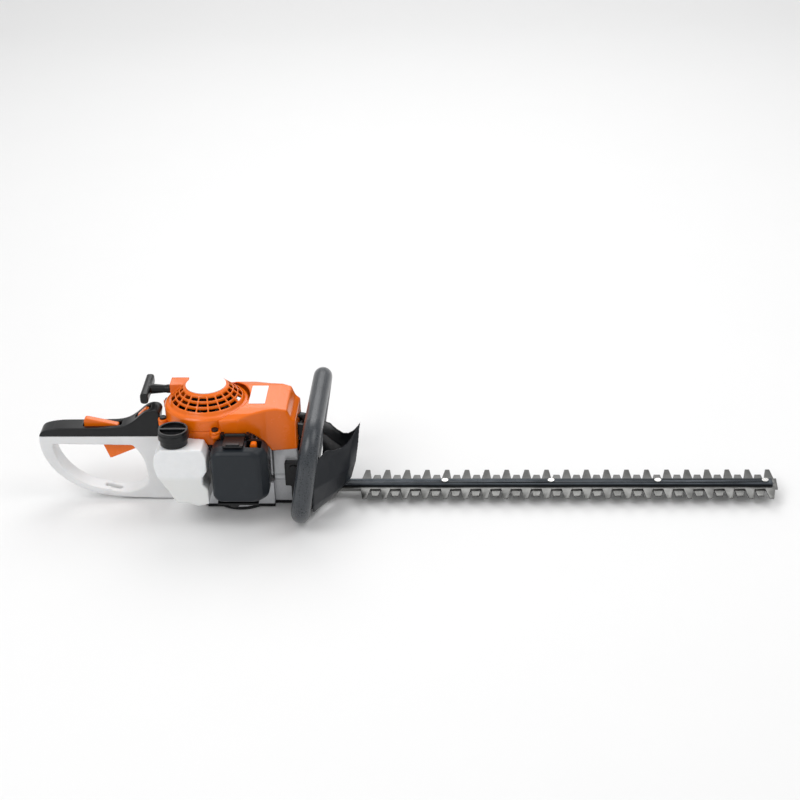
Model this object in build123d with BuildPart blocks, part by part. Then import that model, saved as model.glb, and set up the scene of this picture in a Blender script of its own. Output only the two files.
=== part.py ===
"""Petrol hedge trimmer with a 600 mm double-sided cutter bar.

Frame: millimetres, +X forward along the blade, +Z up, +Y to the left of the user.
The origin is on the flat underside of the gear case, below the crankshaft axis.
The crankshaft stands upright, with the fan and starter above and the cutter drive below.
"""

import math
import os

from build123d import *

# ---------------------------------------------------------------- driving sizes
# cutter blades
TOOTH_PITCH = 30.0
TOOTH_COUNT = 21
FIRST_TOOTH_X = 230.0
LONG_TOOTH_REACH = 42.0
SHORT_TOOTH_REACH = 31.0
TOOTH_ROOT = 15.0
LONG_TOOTH_TIP = 6.5
SHORT_TOOTH_TIP = 9.0
KNIFE_HALF_WIDTH = 15.0
KNIFE_THICKNESS = 2.2
KNIFE_GAP = 0.3
BLADE_Z = 16.0
KNIFE_STROKE_HALF = 7.5
BAR_WIDTH = 17.0
BAR_THICKNESS = 4.0
BAR_REAR_X = 97.0
BAR_TIP_OVERHANG = 4.0
BOLT_FIRST_X = 190.0
BOLT_TIP_MARGIN = 10.4
BOLT_COUNT = 5
BOLT_RADIUS = 3.0
BOLT_HEAD_RADIUS = 5.0
BOLT_HEAD_HEIGHT = 2.4
SLEEVE_RADIUS = 4.0
WASHER_RADIUS = 9.0
WASHER_THICKNESS = 1.4
NUT_HEIGHT = 3.4
SLOT_CLEARANCE = 0.3

# cutter drive
GEAR_MODULE = 1.5
PINION_TEETH = 12
CRANK_GEAR_TEETH = 48
GEAR_BACKLASH = 0.36
GEAR_FACE = 8.0
GEAR_Z = 25.0
ECCENTRIC_RADIUS = 14.5
GEAR_AXLE_RADIUS = 5.0
RUNNING_CLEARANCE = 0.05
YOKE_RIM = 5.5
YOKE_CLEARANCE = 0.5
COVER_THICKNESS = 5.0
GEAR_CASE_WALL = 6.5
GEAR_CASE_ROOF_Z = 36.5
GEAR_CASE_TOP_Z = 41.0
NOSE_FRONT_X = 151.0
NOSE_HALF_WIDTH = 25.0
CASE_SCREW_RADIUS = 1.5
CASE_SCREW_HEAD = 3.0

# clutch and crankshaft
DRUM_RADIUS = 27.0
DRUM_WALL = 1.8
DRUM_FLOOR_Z = 43.0
DRUM_TOP_Z = 57.0
DRUM_POCKET_TOP_Z = 61.0
DRUM_POCKET_WALL = 3.5
DRUM_BEARING_RADIUS = 11.0
PINION_SHAFT_RADIUS = 6.0
SHOE_GAP = 1.2
CRANK_RADIUS = 15.0
CRANK_SHAFT_RADIUS = 6.0
CRANK_PIN_RADIUS = 4.5
CRANK_WEB_RADIUS = 21.0
CRANK_WEB_THICKNESS = 6.0
CASE_RADIUS = 37.0
CYLINDER_Z = 85.0
CASE_TOP_Z = 112.0
CHAMBER_RADIUS = 23.0
CHAMBER_HALF_HEIGHT = 12.0
MAIN_BEARING_RADIUS = 13.0
MAIN_BEARING_WIDTH = 9.0

# cylinder
BORE_RADIUS = 17.0
BARREL_RADIUS = 22.0
CYLINDER_BASE_X = 38.5
CYLINDER_END_X = 94.0
FIN_COUNT = 8
FIN_PITCH = 6.6
FIN_THICKNESS = 2.2
FIN_FIRST_X = 47.0
FIN_HALF_WIDTH = 36.0
FIN_HALF_HEIGHT = 34.0
ROD_LENGTH = 50.0
PISTON_LENGTH = 22.0
PISTON_CLEARANCE = 0.05
PISTON_PIN_RADIUS = 4.0

# fan, starter and orange housing
FAN_RADIUS = 49.0
FAN_Z = 121.0
FAN_DISC_THICKNESS = 5.0
FAN_BLADE_HEIGHT = 18.0
FAN_BLADE_COUNT = 16
STARTER_CUP_RADIUS = 14.0
STARTER_CUP_HEIGHT = 10.0
HOUSING_RADIUS = 63.0
HOUSING_WALL = 2.6
HOUSING_SKIRT_Z = 119.0
SHROUD_SEAM_Z = 142.0
HOUSING_RIM_Z = 160.0
GRILLE_OUTER_RADIUS = 55.0
GRILLE_RIM_Z = 167.0
BADGE_RADIUS = 30.5
BADGE_Z = 187.0
GRILLE_SPOKES = 18
GRILLE_RINGS = 3
SHROUD_FRONT_X = 134.0
SHROUD_FRONT_HALF_WIDTH = 37.0
SHROUD_FRONT_TOP_Z = 141.0
PULLEY_RADIUS = 26.0
PULLEY_Z = 164.0
PULLEY_WIDTH = 10.0
ROPE_RADIUS = 1.75
PULL_STROKE = 60.0
GRIP_X = -95.0
STARTER_POST_RADIUS = 5.0

# rear handle
HANDLE_HALF_WIDTH = 15.0
HANDLE_REAR_X = -255.0
HANDLE_FRONT_X = -60.0
HANDLE_SPLIT_Z = 108.0
HANDLE_WALL = 2.6
GRIP_TOP_Z = 122.0
TRIGGER_PIVOT_X = -114.0
TRIGGER_PIVOT_Z = 101.0
LOCKOUT_PIVOT_X = -141.0
LOCKOUT_PIVOT_Z = 113.0
LEVER_HALF_WIDTH = 5.0
LEVER_PIN_RADIUS = 2.0
LEVER_PIN_HALF = 13.5
BUFFER_RADIUS = 9.0
REAR_PAD_X = -40.0
REAR_PAD_HALF_WIDTH = 20.0

# fuel tank
TANK_WALL = 2.2
TANK_NEAR_Y = -101.0
TANK_FAR_Y = -45.0
TANK_TOP_Z = 132.0
TANK_SHOULDER_Z = 109.0
NECK_RADIUS = 16.0
NECK_TOP_Z = 146.0
NECK_X = -40.0
NECK_Y = -80.0
CAP_RADIUS = 22.5
CAP_BOTTOM_Z = 133.5
CAP_TOP_Z = 152.0
CAP_WING_HEIGHT = 5.0

# air filter and carburettor
FILTER_REAR_X = 13.5
FILTER_FRONT_X = 96.5
FILTER_BOTTOM_Z = 46.0
FILTER_TOP_Z = 134.0
FILTER_BACK_Y = -68.0
FILTER_BASE_THICKNESS = 5.0
FILTER_COVER_Y = -108.0
FILTER_WALL = 2.4
COVER_TRAVEL = 45.0
INTAKE_X = 66.0
INTAKE_PORT_RADIUS = 7.0
CARB_REAR_Y = -42.0
CARB_LEVER_Y = -52.0
CARB_LEVER_SHAFT = 2.5

# front handle, bracket and guard
LOOP_TUBE_RADIUS = 14.0
LOOP_HALF_WIDTH = 120.0
LOOP_TOP_Z = 157.0
LOOP_BOTTOM_Z = 17.0
LOOP_CORNER = 48.0
LOOP_BASE_X = 139.5
LOOP_LEAN = 10.0
BRACKET_REAR_X = 114.0
BRACKET_FRONT_X = 150.5
BRACKET_HALF_WIDTH = 44.0
BRACKET_TOP_Z = 78.0
BRACKET_SCREW_X = 127.0
BRACKET_SCREW_Z = 70.0
BRACKET_GAP = 0.2
GUARD_THICKNESS = 3.0
GUARD_SPAN = 120.0
GUARD_CEILING = 150.0
GUARD_ARM_Y = 33.0
GUARD_ARM_WIDTH = 8.0
GUARD_ARM_LOW = 19.0
GUARD_ARM_MIDDLE = 30.0
GUARD_ARM_TOP = 41.0
GUARD_ARM_FRONT_LOW = 184.0
GUARD_ARM_FRONT_HIGH = 191.0
GUARD_ARMS = ((GUARD_ARM_FRONT_LOW, GUARD_ARM_LOW), (GUARD_ARM_FRONT_HIGH, GUARD_ARM_MIDDLE))
GUARD_LEVELS = [12.0, 30.0, 58.0, 89.0, 112.0, 140.0]
GUARD_CURVES = [
    [(194.0, 0.0), (185.5, 23.5), (175.0, 44.0), (163.0, 64.0), (158.5, 74.0)],
    [(208.5, 0.0), (200.0, 23.0), (187.0, 46.0), (172.0, 66.0), (159.5, 86.0)],
    [(216.5, 0.0), (208.0, 22.0), (196.0, 42.0), (182.0, 60.0), (161.0, 88.0)],
    [(221.5, 0.0), (211.0, 14.0), (195.0, 27.0), (180.0, 43.0), (162.0, 70.0)],
    [(224.0, 0.0), (216.5, 8.0), (201.0, 18.0), (184.0, 30.0), (163.0, 54.0)],
    [(229.0, 0.0), (224.0, 4.0), (208.5, 11.0), (190.0, 22.0), (165.0, 38.0)],
]
GUARD_RIM = [
    (150.0, 70.0),
    (158.0, 84.0),
    (164.0, 92.0),
    (176.0, 99.0),
    (186.0, 94.5),
    (197.0, 93.0),
    (206.0, 97.0),
    (215.0, 107.0),
    (223.0, 120.0),
    (231.0, 135.0),
]

# muffler
MUFFLER_REAR_X = 34.0
MUFFLER_FRONT_X = 98.0
MUFFLER_NEAR_Y = 46.0
MUFFLER_FAR_Y = 82.0
MUFFLER_BOTTOM_Z = 51.0
MUFFLER_TOP_Z = 107.0

# ---------------------------------------------------------------- derived sizes
LOWER_KNIFE_Z = BLADE_Z - KNIFE_GAP / 2 - KNIFE_THICKNESS
UPPER_KNIFE_Z = BLADE_Z + KNIFE_GAP / 2
BAR_Z = UPPER_KNIFE_Z + KNIFE_THICKNESS + KNIFE_GAP
BAR_TOP_Z = BAR_Z + BAR_THICKNESS
LAST_TOOTH_X = FIRST_TOOTH_X + (TOOTH_COUNT - 1) * TOOTH_PITCH
KNIFE_TIP_X = LAST_TOOTH_X + 11.0
BAR_TIP_X = LAST_TOOTH_X + BAR_TIP_OVERHANG
BOLT_PITCH = (BAR_TIP_X - BOLT_TIP_MARGIN - BOLT_FIRST_X) / (BOLT_COUNT - 1)
BOLT_XS = [BOLT_FIRST_X + i * BOLT_PITCH for i in range(BOLT_COUNT)]
PINION_PITCH_RADIUS = GEAR_MODULE * PINION_TEETH / 2
CRANK_GEAR_PITCH_RADIUS = GEAR_MODULE * CRANK_GEAR_TEETH / 2
GEAR_X = PINION_PITCH_RADIUS + CRANK_GEAR_PITCH_RADIUS
CRANK_GEAR_TIP_RADIUS = CRANK_GEAR_PITCH_RADIUS + GEAR_MODULE
PINION_TIP_RADIUS = PINION_PITCH_RADIUS + GEAR_MODULE
YOKE_HALF_X = ECCENTRIC_RADIUS + 2 * KNIFE_STROKE_HALF + YOKE_CLEARANCE
YOKE_HALF_Y = ECCENTRIC_RADIUS + KNIFE_STROKE_HALF + YOKE_CLEARANCE
YOKE_OUTER_X = YOKE_HALF_X + YOKE_RIM
YOKE_OUTER_Y = YOKE_HALF_Y + YOKE_RIM
GEAR_ROOM_RADIUS = CRANK_GEAR_TIP_RADIUS + 1.0
PINION_ROOM_RADIUS = PINION_TIP_RADIUS + 1.0
YOKE_ROOM_REAR_X = GEAR_X - YOKE_OUTER_X - KNIFE_STROKE_HALF - 1.0
YOKE_ROOM_FRONT_X = GEAR_X + YOKE_OUTER_X + KNIFE_STROKE_HALF + 1.0
YOKE_ROOM_HALF_Y = YOKE_OUTER_Y + 1.0
CASE_HALF_Y = YOKE_ROOM_HALF_Y + GEAR_CASE_WALL
DRUM_POCKET_RADIUS = DRUM_RADIUS + 2.0
DRUM_POCKET_OUTER = DRUM_POCKET_RADIUS + DRUM_POCKET_WALL
CASE_BOTTOM_Z = DRUM_POCKET_TOP_Z
GEAR_TOP_Z = GEAR_Z + GEAR_FACE
CASE_SPLIT_Z = CYLINDER_Z
SHOE_OUTER_RADIUS = DRUM_RADIUS - DRUM_WALL - SHOE_GAP
PISTON_PIN_X = CRANK_RADIUS + ROD_LENGTH
PISTON_CROWN_X = PISTON_PIN_X + 13.0
FAN_BLADE_TOP_Z = FAN_Z + FAN_DISC_THICKNESS + FAN_BLADE_HEIGHT
PULLEY_TOP_Z = PULLEY_Z + PULLEY_WIDTH
ROPE_Y = PULLEY_RADIUS - 4.0
ROPE_Z = PULLEY_Z + PULLEY_WIDTH / 2
SLEEVE_HOLE = BOLT_RADIUS + RUNNING_CLEARANCE
LEAN_ANGLE = math.radians(LOOP_LEAN)
LEAN = math.tan(LEAN_ANGLE)

NOSE_SCREW_XS = [BAR_REAR_X + 7.0, BAR_REAR_X + 27.0]
NOSE_SCREW_RADIUS = 2.5
WASHER_TOP_Z = LOWER_KNIFE_Z - KNIFE_GAP
NUT_TOP_Z = WASHER_TOP_Z - WASHER_THICKNESS
CASE_SCREW_Y = YOKE_ROOM_HALF_Y + GEAR_CASE_WALL / 2
CASE_SCREW_SPOTS = [
    (x, side * y)
    for side in (-1, 1)
    for x, y in (
        (YOKE_ROOM_REAR_X + 5, CASE_SCREW_Y),
        (YOKE_ROOM_FRONT_X - 5, CASE_SCREW_Y),
        (NOSE_FRONT_X - 16, NOSE_HALF_WIDTH - 4.5),
    )
]
CASE_SCREW_DEPTH = 12.0
SHOE_BOTTOM_Z = DRUM_FLOOR_Z + DRUM_WALL + 1.0
SHOE_HEIGHT = DRUM_TOP_Z - SHOE_BOTTOM_Z - 1.0
CARRIER_HALF_WIDTH = 6.0
SHOE_INNER_RADIUS = 12.0
WEB_GAP_HALF = 4.5
LOWER_WEB_Z = CYLINDER_Z - WEB_GAP_HALF - CRANK_WEB_THICKNESS
UPPER_WEB_Z = CYLINDER_Z + WEB_GAP_HALF
SHAFT_BOTTOM_Z = SHOE_BOTTOM_Z
SHAFT_TOP_Z = FAN_Z + FAN_DISC_THICKNESS + 8.0
ROD_HALF_THICKNESS = WEB_GAP_HALF - 0.5
ROD_BIG_END_RADIUS = CRANK_PIN_RADIUS + 3.5
ROD_SMALL_END_RADIUS = PISTON_PIN_RADIUS + 2.8
PISTON_RADIUS = BORE_RADIUS - PISTON_CLEARANCE
PISTON_SKIRT_X = PISTON_CROWN_X - PISTON_LENGTH
PISTON_PIN_HALF = PISTON_RADIUS - 2.5
CHAMBER_BOTTOM_Z = CYLINDER_Z - CHAMBER_HALF_HEIGHT
CHAMBER_TOP_Z = CYLINDER_Z + CHAMBER_HALF_HEIGHT
BOTTOM_BEARING_Z = CHAMBER_BOTTOM_Z - MAIN_BEARING_WIDTH
FLANGE_HALF_WIDTH = 30.0
CASE_FRONT_X = CYLINDER_BASE_X
UPPER_BEARING_Z = CHAMBER_TOP_Z
PLUG_RADIUS = 5.0
COMBUSTION_END_X = PISTON_CROWN_X + 4.0
PLUG_HEX_X = FIN_FIRST_X + (FIN_COUNT - 1) * FIN_PITCH + FIN_THICKNESS + 0.2
BOOT_X = PLUG_HEX_X + 6.0
BOOT_ELBOW_X = 142.0
BOOT_TOP_Z = 124.0
IGNITION_ANGLE = 60.0
SPRING_Z = PULLEY_TOP_Z + 0.6
SPRING_HEIGHT = 4.0
POST_BOTTOM_Z = PULLEY_Z - 6.4
BOSS_REAR_X = -56.0
BOSS_HALF_WIDTH = 12.0
BOSS_TOP_Z = 182.0
LUG_RADIUS = 7.5
LUG_DISTANCE = 69.0
LUG_ANGLES = (74.0, 156.0, 204.0, 286.0)
LUG_SPOTS = [
    (LUG_DISTANCE * math.cos(math.radians(a)), LUG_DISTANCE * math.sin(math.radians(a)))
    for a in LUG_ANGLES
]
LUG_THICKNESS = 4.0
LID_SCREW_RADIUS = 2.0
LID_SCREW_HEAD = 5.0
LID_SCREW_DEPTH = 6.5
LUG_DEPTH = 7.5
GRIP_NECK_END_X = BOSS_REAR_X - 0.6
HOOD_BOTTOM_Z = 98.5
HOOD_TOP_Z = 168.5
LEVER_ROOM_HALF = 11.5
TRIGGER_SLOT_HALF = LEVER_HALF_WIDTH + 1.5
SWITCH_X = -97.0
SWITCH_Z = 134.0
TRUNNION_RADIUS = 2.0
TRUNNION_HALF = 8.5
NOTCH_REAR_X = 66.0
NOTCH_FRONT_X = 88.0
NOTCH_BOTTOM_Z = 114.0
NOTCH_Y = -93.0
CHOKE_X = 77.0
CHOKE_Z = 124.0
CHOKE_SHAFT_RADIUS = 3.0
LATCH_Y = -66.0
LATCH_Z = 138.0
LATCH_PIN_RADIUS = 1.5
BASE_Y = FILTER_BACK_Y - FILTER_BASE_THICKNESS
SHELF_Z = 40.0
PRIMER_X = 43.0
PRIMER_Y = -85.0
PRIMER_RADIUS = 6.5
BRACKET_HOLE_RADIUS = LOOP_TUBE_RADIUS + RUNNING_CLEARANCE
SOCKET_REAR_X = LOOP_BASE_X - LOOP_TUBE_RADIUS - 3.0
SOCKET_FRONT_X = LOOP_BASE_X + LOOP_TUBE_RADIUS + 3.0
BRACKET_INNER_Y = NOSE_HALF_WIDTH + BRACKET_GAP
TUBE_END_Y = BRACKET_INNER_Y + 4.0
LOOP_RISE = (LOOP_TOP_Z - LOOP_BOTTOM_Z) / math.cos(LEAN_ANGLE)

os.makedirs("parts", exist_ok=True)


def gear_outline(teeth, module, backlash, phase_deg):
    """Closed involute outline of a spur gear, as a list of (x, y) corners."""
    pitch_r = module * teeth / 2
    base_r = pitch_r * math.cos(math.radians(20))
    tip_r = pitch_r + module
    root_r = pitch_r - 1.25 * module

    def involute(radius):
        spread = math.sqrt(max((radius / base_r) ** 2 - 1, 0))
        return spread - math.atan(spread)

    half_pitch = math.pi / (2 * teeth) - backlash / (2 * pitch_r)
    flank_start = max(base_r, root_r)
    radii = [flank_start + (tip_r - flank_start) * k / 4 for k in range(5)]
    outline = []
    for tooth in range(teeth):
        centre = math.radians(phase_deg) + tooth * 2 * math.pi / teeth
        halves = [half_pitch + involute(pitch_r) - involute(r) for r in radii]
        root_half = halves[0] * (0.8 if root_r < base_r else 1.0)
        rising = [(root_r, -root_half)] + [(r, -h) for r, h in zip(radii, halves)]
        falling = [(r, h) for r, h in zip(radii[::-1], halves[::-1])] + [(root_r, root_half)]
        for radius, angle in rising + falling:
            outline.append((radius * math.cos(centre + angle), radius * math.sin(centre + angle)))
    unique = [outline[0]]
    for corner in outline[1:]:
        if math.dist(corner, unique[-1]) > 1e-4:
            unique.append(corner)
    return unique


def tooth_outline(x, side, root_y, reach, root_width, tip_width):
    """Corners of one cutter tooth that points away from the blade's centre line."""
    return [
        (x - root_width / 2, side * root_y),
        (x - tip_width / 2, side * reach),
        (x + tip_width / 2, side * reach),
        (x + root_width / 2, side * root_y),
    ]


# ---------------------------------------------------------------- cutter knives
def knife(z, tooth_xs, reach, tip_width, tip_x):
    """A flat reciprocating knife: drive yoke, strip, slots and teeth on both edges."""
    slot_height = 2 * (SLEEVE_RADIUS + SLOT_CLEARANCE)
    with BuildPart() as made:
        with BuildSketch(Plane.XY.offset(z)):
            strip_rear = GEAR_X + YOKE_HALF_X
            with Locations(((strip_rear + tip_x) / 2, 0)):
                Rectangle(tip_x - strip_rear, 2 * KNIFE_HALF_WIDTH)
            with Locations((GEAR_X, 0)):
                Rectangle(2 * YOKE_OUTER_X, 2 * YOKE_OUTER_Y)
            for tooth_x in tooth_xs:
                for side in (-1, 1):
                    with BuildLine():
                        corners = tooth_outline(
                            tooth_x, side, KNIFE_HALF_WIDTH - 1, reach, TOOTH_ROOT, tip_width
                        )
                        Polyline(*corners, close=True)
                    make_face()
            with Locations((GEAR_X, 0)):
                Rectangle(2 * YOKE_HALF_X, 2 * YOKE_HALF_Y, mode=Mode.SUBTRACT)
            with Locations(*[(x, 0) for x in BOLT_XS]):
                SlotOverall(2 * KNIFE_STROKE_HALF + slot_height, slot_height, mode=Mode.SUBTRACT)
        extrude(amount=KNIFE_THICKNESS)
    return made.part


long_tooth_xs = [FIRST_TOOTH_X + i * TOOTH_PITCH for i in range(TOOTH_COUNT)]
short_tooth_xs = [x + TOOTH_PITCH / 2 for x in long_tooth_xs[:-1]]
upper_knife = knife(UPPER_KNIFE_Z, long_tooth_xs, LONG_TOOTH_REACH, LONG_TOOTH_TIP, KNIFE_TIP_X)
upper_knife.label = "upper_knife"
export_step(upper_knife, "parts/upper_knife.step")
lower_knife = knife(LOWER_KNIFE_Z, short_tooth_xs, SHORT_TOOTH_REACH, SHORT_TOOTH_TIP, KNIFE_TIP_X - 8.0)
lower_knife.label = "lower_knife"
export_step(lower_knife, "parts/lower_knife.step")

# ---------------------------------------------------------------- guide bar and its bolts

with BuildPart() as guide_bar:
    with BuildSketch(Plane.XY.offset(BAR_Z)):
        with Locations(((BAR_REAR_X + BAR_TIP_X) / 2, 0)):
            Rectangle(BAR_TIP_X - BAR_REAR_X, BAR_WIDTH)
        with Locations(*[(x, 0) for x in BOLT_XS]):
            Circle(SLEEVE_HOLE, mode=Mode.SUBTRACT)
        with Locations(*[(x, 0) for x in NOSE_SCREW_XS]):
            Circle(NOSE_SCREW_RADIUS, mode=Mode.SUBTRACT)
    extrude(amount=BAR_THICKNESS)
guide_bar.part.label = "guide_bar"
export_step(guide_bar.part, "parts/guide_bar.step")


with BuildPart() as bar_bolts:
    with BuildSketch(Plane.XY.offset(NUT_TOP_Z - NUT_HEIGHT)):
        with Locations(*[(x, 0) for x in BOLT_XS]):
            Circle(BOLT_RADIUS)
    extrude(amount=BAR_TOP_Z - NUT_TOP_Z + NUT_HEIGHT)
    with BuildSketch(Plane.XY.offset(BAR_TOP_Z)):
        with Locations(*[(x, 0) for x in BOLT_XS]):
            Circle(BOLT_HEAD_RADIUS)
    extrude(amount=BOLT_HEAD_HEIGHT)
    with BuildSketch(Plane.XY.offset(NUT_TOP_Z - NUT_HEIGHT)):
        with Locations(*[(x, 0) for x in BOLT_XS]):
            RegularPolygon(BOLT_HEAD_RADIUS + 0.8, 6)
            Circle(SLEEVE_HOLE, mode=Mode.SUBTRACT)
    extrude(amount=NUT_HEIGHT)
bar_bolts.part.label = "bar_bolts"
export_step(bar_bolts.part, "parts/bar_bolts.step")

with BuildPart() as bar_bushings:
    with BuildSketch(Plane.XY.offset(NUT_TOP_Z)):
        with Locations(*[(x, 0) for x in BOLT_XS]):
            Circle(WASHER_RADIUS)
    extrude(amount=WASHER_THICKNESS)
    with BuildSketch(Plane.XY.offset(WASHER_TOP_Z)):
        with Locations(*[(x, 0) for x in BOLT_XS]):
            Circle(SLEEVE_RADIUS)
    extrude(amount=BAR_Z - WASHER_TOP_Z)
    with BuildSketch(Plane.XY.offset(NUT_TOP_Z)):
        with Locations(*[(x, 0) for x in BOLT_XS]):
            Circle(SLEEVE_HOLE)
    extrude(amount=BAR_Z - NUT_TOP_Z, mode=Mode.SUBTRACT)
bar_bushings.part.label = "bar_bushings"
export_step(bar_bushings.part, "parts/bar_bushings.step")

# ---------------------------------------------------------------- gear case


def case_outline():
    """Draws the plan outline shared by the gear case and its bottom cover."""
    with Locations((GEAR_X, 0)):
        Circle(GEAR_ROOM_RADIUS + GEAR_CASE_WALL)
    Circle(DRUM_POCKET_OUTER)
    box_rear = YOKE_ROOM_REAR_X - GEAR_CASE_WALL
    box_front = YOKE_ROOM_FRONT_X + GEAR_CASE_WALL
    with Locations(((box_rear + box_front) / 2, 0)):
        Rectangle(box_front - box_rear, 2 * CASE_HALF_Y)
    with Locations(((GEAR_X + NOSE_FRONT_X) / 2, 0)):
        Rectangle(NOSE_FRONT_X - GEAR_X, 2 * NOSE_HALF_WIDTH)


with BuildPart() as gear_case:
    with BuildSketch(Plane.XY.offset(COVER_THICKNESS)):
        case_outline()
    extrude(amount=GEAR_CASE_TOP_Z - COVER_THICKNESS)
    with BuildSketch(Plane.XY.offset(GEAR_CASE_TOP_Z)):
        Circle(DRUM_POCKET_OUTER)
    extrude(amount=DRUM_POCKET_TOP_Z - GEAR_CASE_TOP_Z)
    with BuildSketch(Plane.XY.offset(GEAR_CASE_TOP_Z)):
        Circle(DRUM_POCKET_RADIUS)
    extrude(amount=DRUM_POCKET_TOP_Z - GEAR_CASE_TOP_Z, mode=Mode.SUBTRACT)
    with BuildSketch(Plane.XY.offset(COVER_THICKNESS)):
        with Locations((GEAR_X, 0)):
            Circle(GEAR_ROOM_RADIUS)
        Circle(PINION_ROOM_RADIUS)
    extrude(amount=GEAR_CASE_ROOF_Z - COVER_THICKNESS, mode=Mode.SUBTRACT)
    with BuildSketch(Plane.XY.offset(COVER_THICKNESS)):
        with Locations(((YOKE_ROOM_REAR_X + YOKE_ROOM_FRONT_X) / 2, 0)):
            Rectangle(YOKE_ROOM_FRONT_X - YOKE_ROOM_REAR_X, 2 * YOKE_ROOM_HALF_Y)
        with Locations(((GEAR_X + NOSE_FRONT_X) / 2, 0)):
            Rectangle(NOSE_FRONT_X - GEAR_X + 1, 2 * KNIFE_HALF_WIDTH + 3)
    extrude(amount=BAR_Z - COVER_THICKNESS, mode=Mode.SUBTRACT)
    with BuildSketch(Plane.XY.offset(BAR_Z)):
        with Locations(((BAR_REAR_X + NOSE_FRONT_X) / 2, 0)):
            Rectangle(NOSE_FRONT_X - BAR_REAR_X + 0.2, BAR_WIDTH + 0.2)
    extrude(amount=BAR_THICKNESS, mode=Mode.SUBTRACT)
    with BuildSketch(Plane.XY.offset(GEAR_CASE_ROOF_Z)):
        Circle(DRUM_BEARING_RADIUS)
    extrude(amount=GEAR_CASE_TOP_Z - GEAR_CASE_ROOF_Z, mode=Mode.SUBTRACT)
    with BuildSketch(Plane.XY.offset(GEAR_CASE_ROOF_Z)):
        with Locations((GEAR_X, 0)):
            Circle(GEAR_AXLE_RADIUS)
    extrude(amount=GEAR_CASE_TOP_Z - GEAR_CASE_ROOF_Z - 1.5, mode=Mode.SUBTRACT)
    with BuildSketch(Plane.XY.offset(BAR_TOP_Z)):
        with Locations(*[(x, 0) for x in NOSE_SCREW_XS]):
            Circle(NOSE_SCREW_RADIUS)
    extrude(amount=GEAR_CASE_TOP_Z - BAR_TOP_Z, mode=Mode.SUBTRACT)
    with BuildSketch(Plane.XY.offset(COVER_THICKNESS)):
        with Locations(*CASE_SCREW_SPOTS):
            Circle(CASE_SCREW_RADIUS)
    extrude(amount=CASE_SCREW_DEPTH - COVER_THICKNESS, mode=Mode.SUBTRACT)
gear_case.part.label = "gear_case"
export_step(gear_case.part, "parts/gear_case.step")

with BuildPart() as gear_case_cover:
    with BuildSketch():
        case_outline()
        with Locations(*CASE_SCREW_SPOTS):
            Circle(CASE_SCREW_RADIUS, mode=Mode.SUBTRACT)
        with Locations((GEAR_X, 0)):
            Circle(GEAR_AXLE_RADIUS, mode=Mode.SUBTRACT)
    extrude(amount=COVER_THICKNESS)
    with BuildSketch():
        with Locations(*CASE_SCREW_SPOTS):
            Circle(CASE_SCREW_HEAD)
    extrude(amount=2.0, mode=Mode.SUBTRACT)
gear_case_cover.part.label = "gear_case_cover"
export_step(gear_case_cover.part, "parts/gear_case_cover.step")

with BuildPart() as case_screws:
    with BuildSketch():
        with Locations(*CASE_SCREW_SPOTS):
            Circle(CASE_SCREW_RADIUS)
    extrude(amount=CASE_SCREW_DEPTH)
    with BuildSketch(Plane.XY.offset(0.3)):
        with Locations(*CASE_SCREW_SPOTS):
            Circle(CASE_SCREW_HEAD - 0.1)
    extrude(amount=1.7)
    with BuildSketch():
        with Locations(*CASE_SCREW_SPOTS):
            Circle(CASE_SCREW_HEAD)
    extrude(amount=0.3, mode=Mode.SUBTRACT)
    with BuildSketch(Plane.XY.offset(BAR_Z)):
        with Locations(*[(x, 0) for x in NOSE_SCREW_XS]):
            Circle(NOSE_SCREW_RADIUS)
    extrude(amount=GEAR_CASE_TOP_Z - BAR_Z)
case_screws.part.label = "gear_case_screws"
export_step(case_screws.part, "parts/gear_case_screws.step")

with BuildPart() as gear_axle:
    with BuildSketch():
        with Locations((GEAR_X, 0)):
            Circle(GEAR_AXLE_RADIUS)
    extrude(amount=GEAR_CASE_TOP_Z - 1.5)
gear_axle.part.label = "gear_axle"
export_step(gear_axle.part, "parts/gear_axle.step")

# ---------------------------------------------------------------- crank gear with its two eccentrics
with BuildPart() as crank_gear:
    with BuildSketch(Plane.XY.offset(GEAR_Z)):
        with BuildLine():
            phase = 180.0 + 180.0 / CRANK_GEAR_TEETH
            corners = gear_outline(CRANK_GEAR_TEETH, GEAR_MODULE, GEAR_BACKLASH, phase)
            Polyline(*[(x + GEAR_X, y) for x, y in corners], close=True)
        make_face()
    extrude(amount=GEAR_FACE)
    ECCENTRIC_LEVELS = (
        (1, UPPER_KNIFE_Z, KNIFE_THICKNESS),
        (-1, LOWER_KNIFE_Z, KNIFE_THICKNESS),
    )
    for side, z, thickness in ECCENTRIC_LEVELS:
        with BuildSketch(Plane.XY.offset(z)):
            with Locations((GEAR_X, side * KNIFE_STROKE_HALF)):
                Circle(ECCENTRIC_RADIUS)
        extrude(amount=thickness)
    with BuildSketch(Plane.XY.offset(COVER_THICKNESS + 0.5)):
        with Locations((GEAR_X, 0)):
            Circle(GEAR_AXLE_RADIUS + 1.8)
    extrude(amount=GEAR_Z - COVER_THICKNESS - 0.5)
    with BuildSketch(Plane.XY.offset(COVER_THICKNESS)):
        with Locations((GEAR_X, 0)):
            Circle(GEAR_AXLE_RADIUS + RUNNING_CLEARANCE)
    extrude(amount=GEAR_TOP_Z, mode=Mode.SUBTRACT)
crank_gear.part.label = "crank_gear"
export_step(crank_gear.part, "parts/crank_gear.step")

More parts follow.
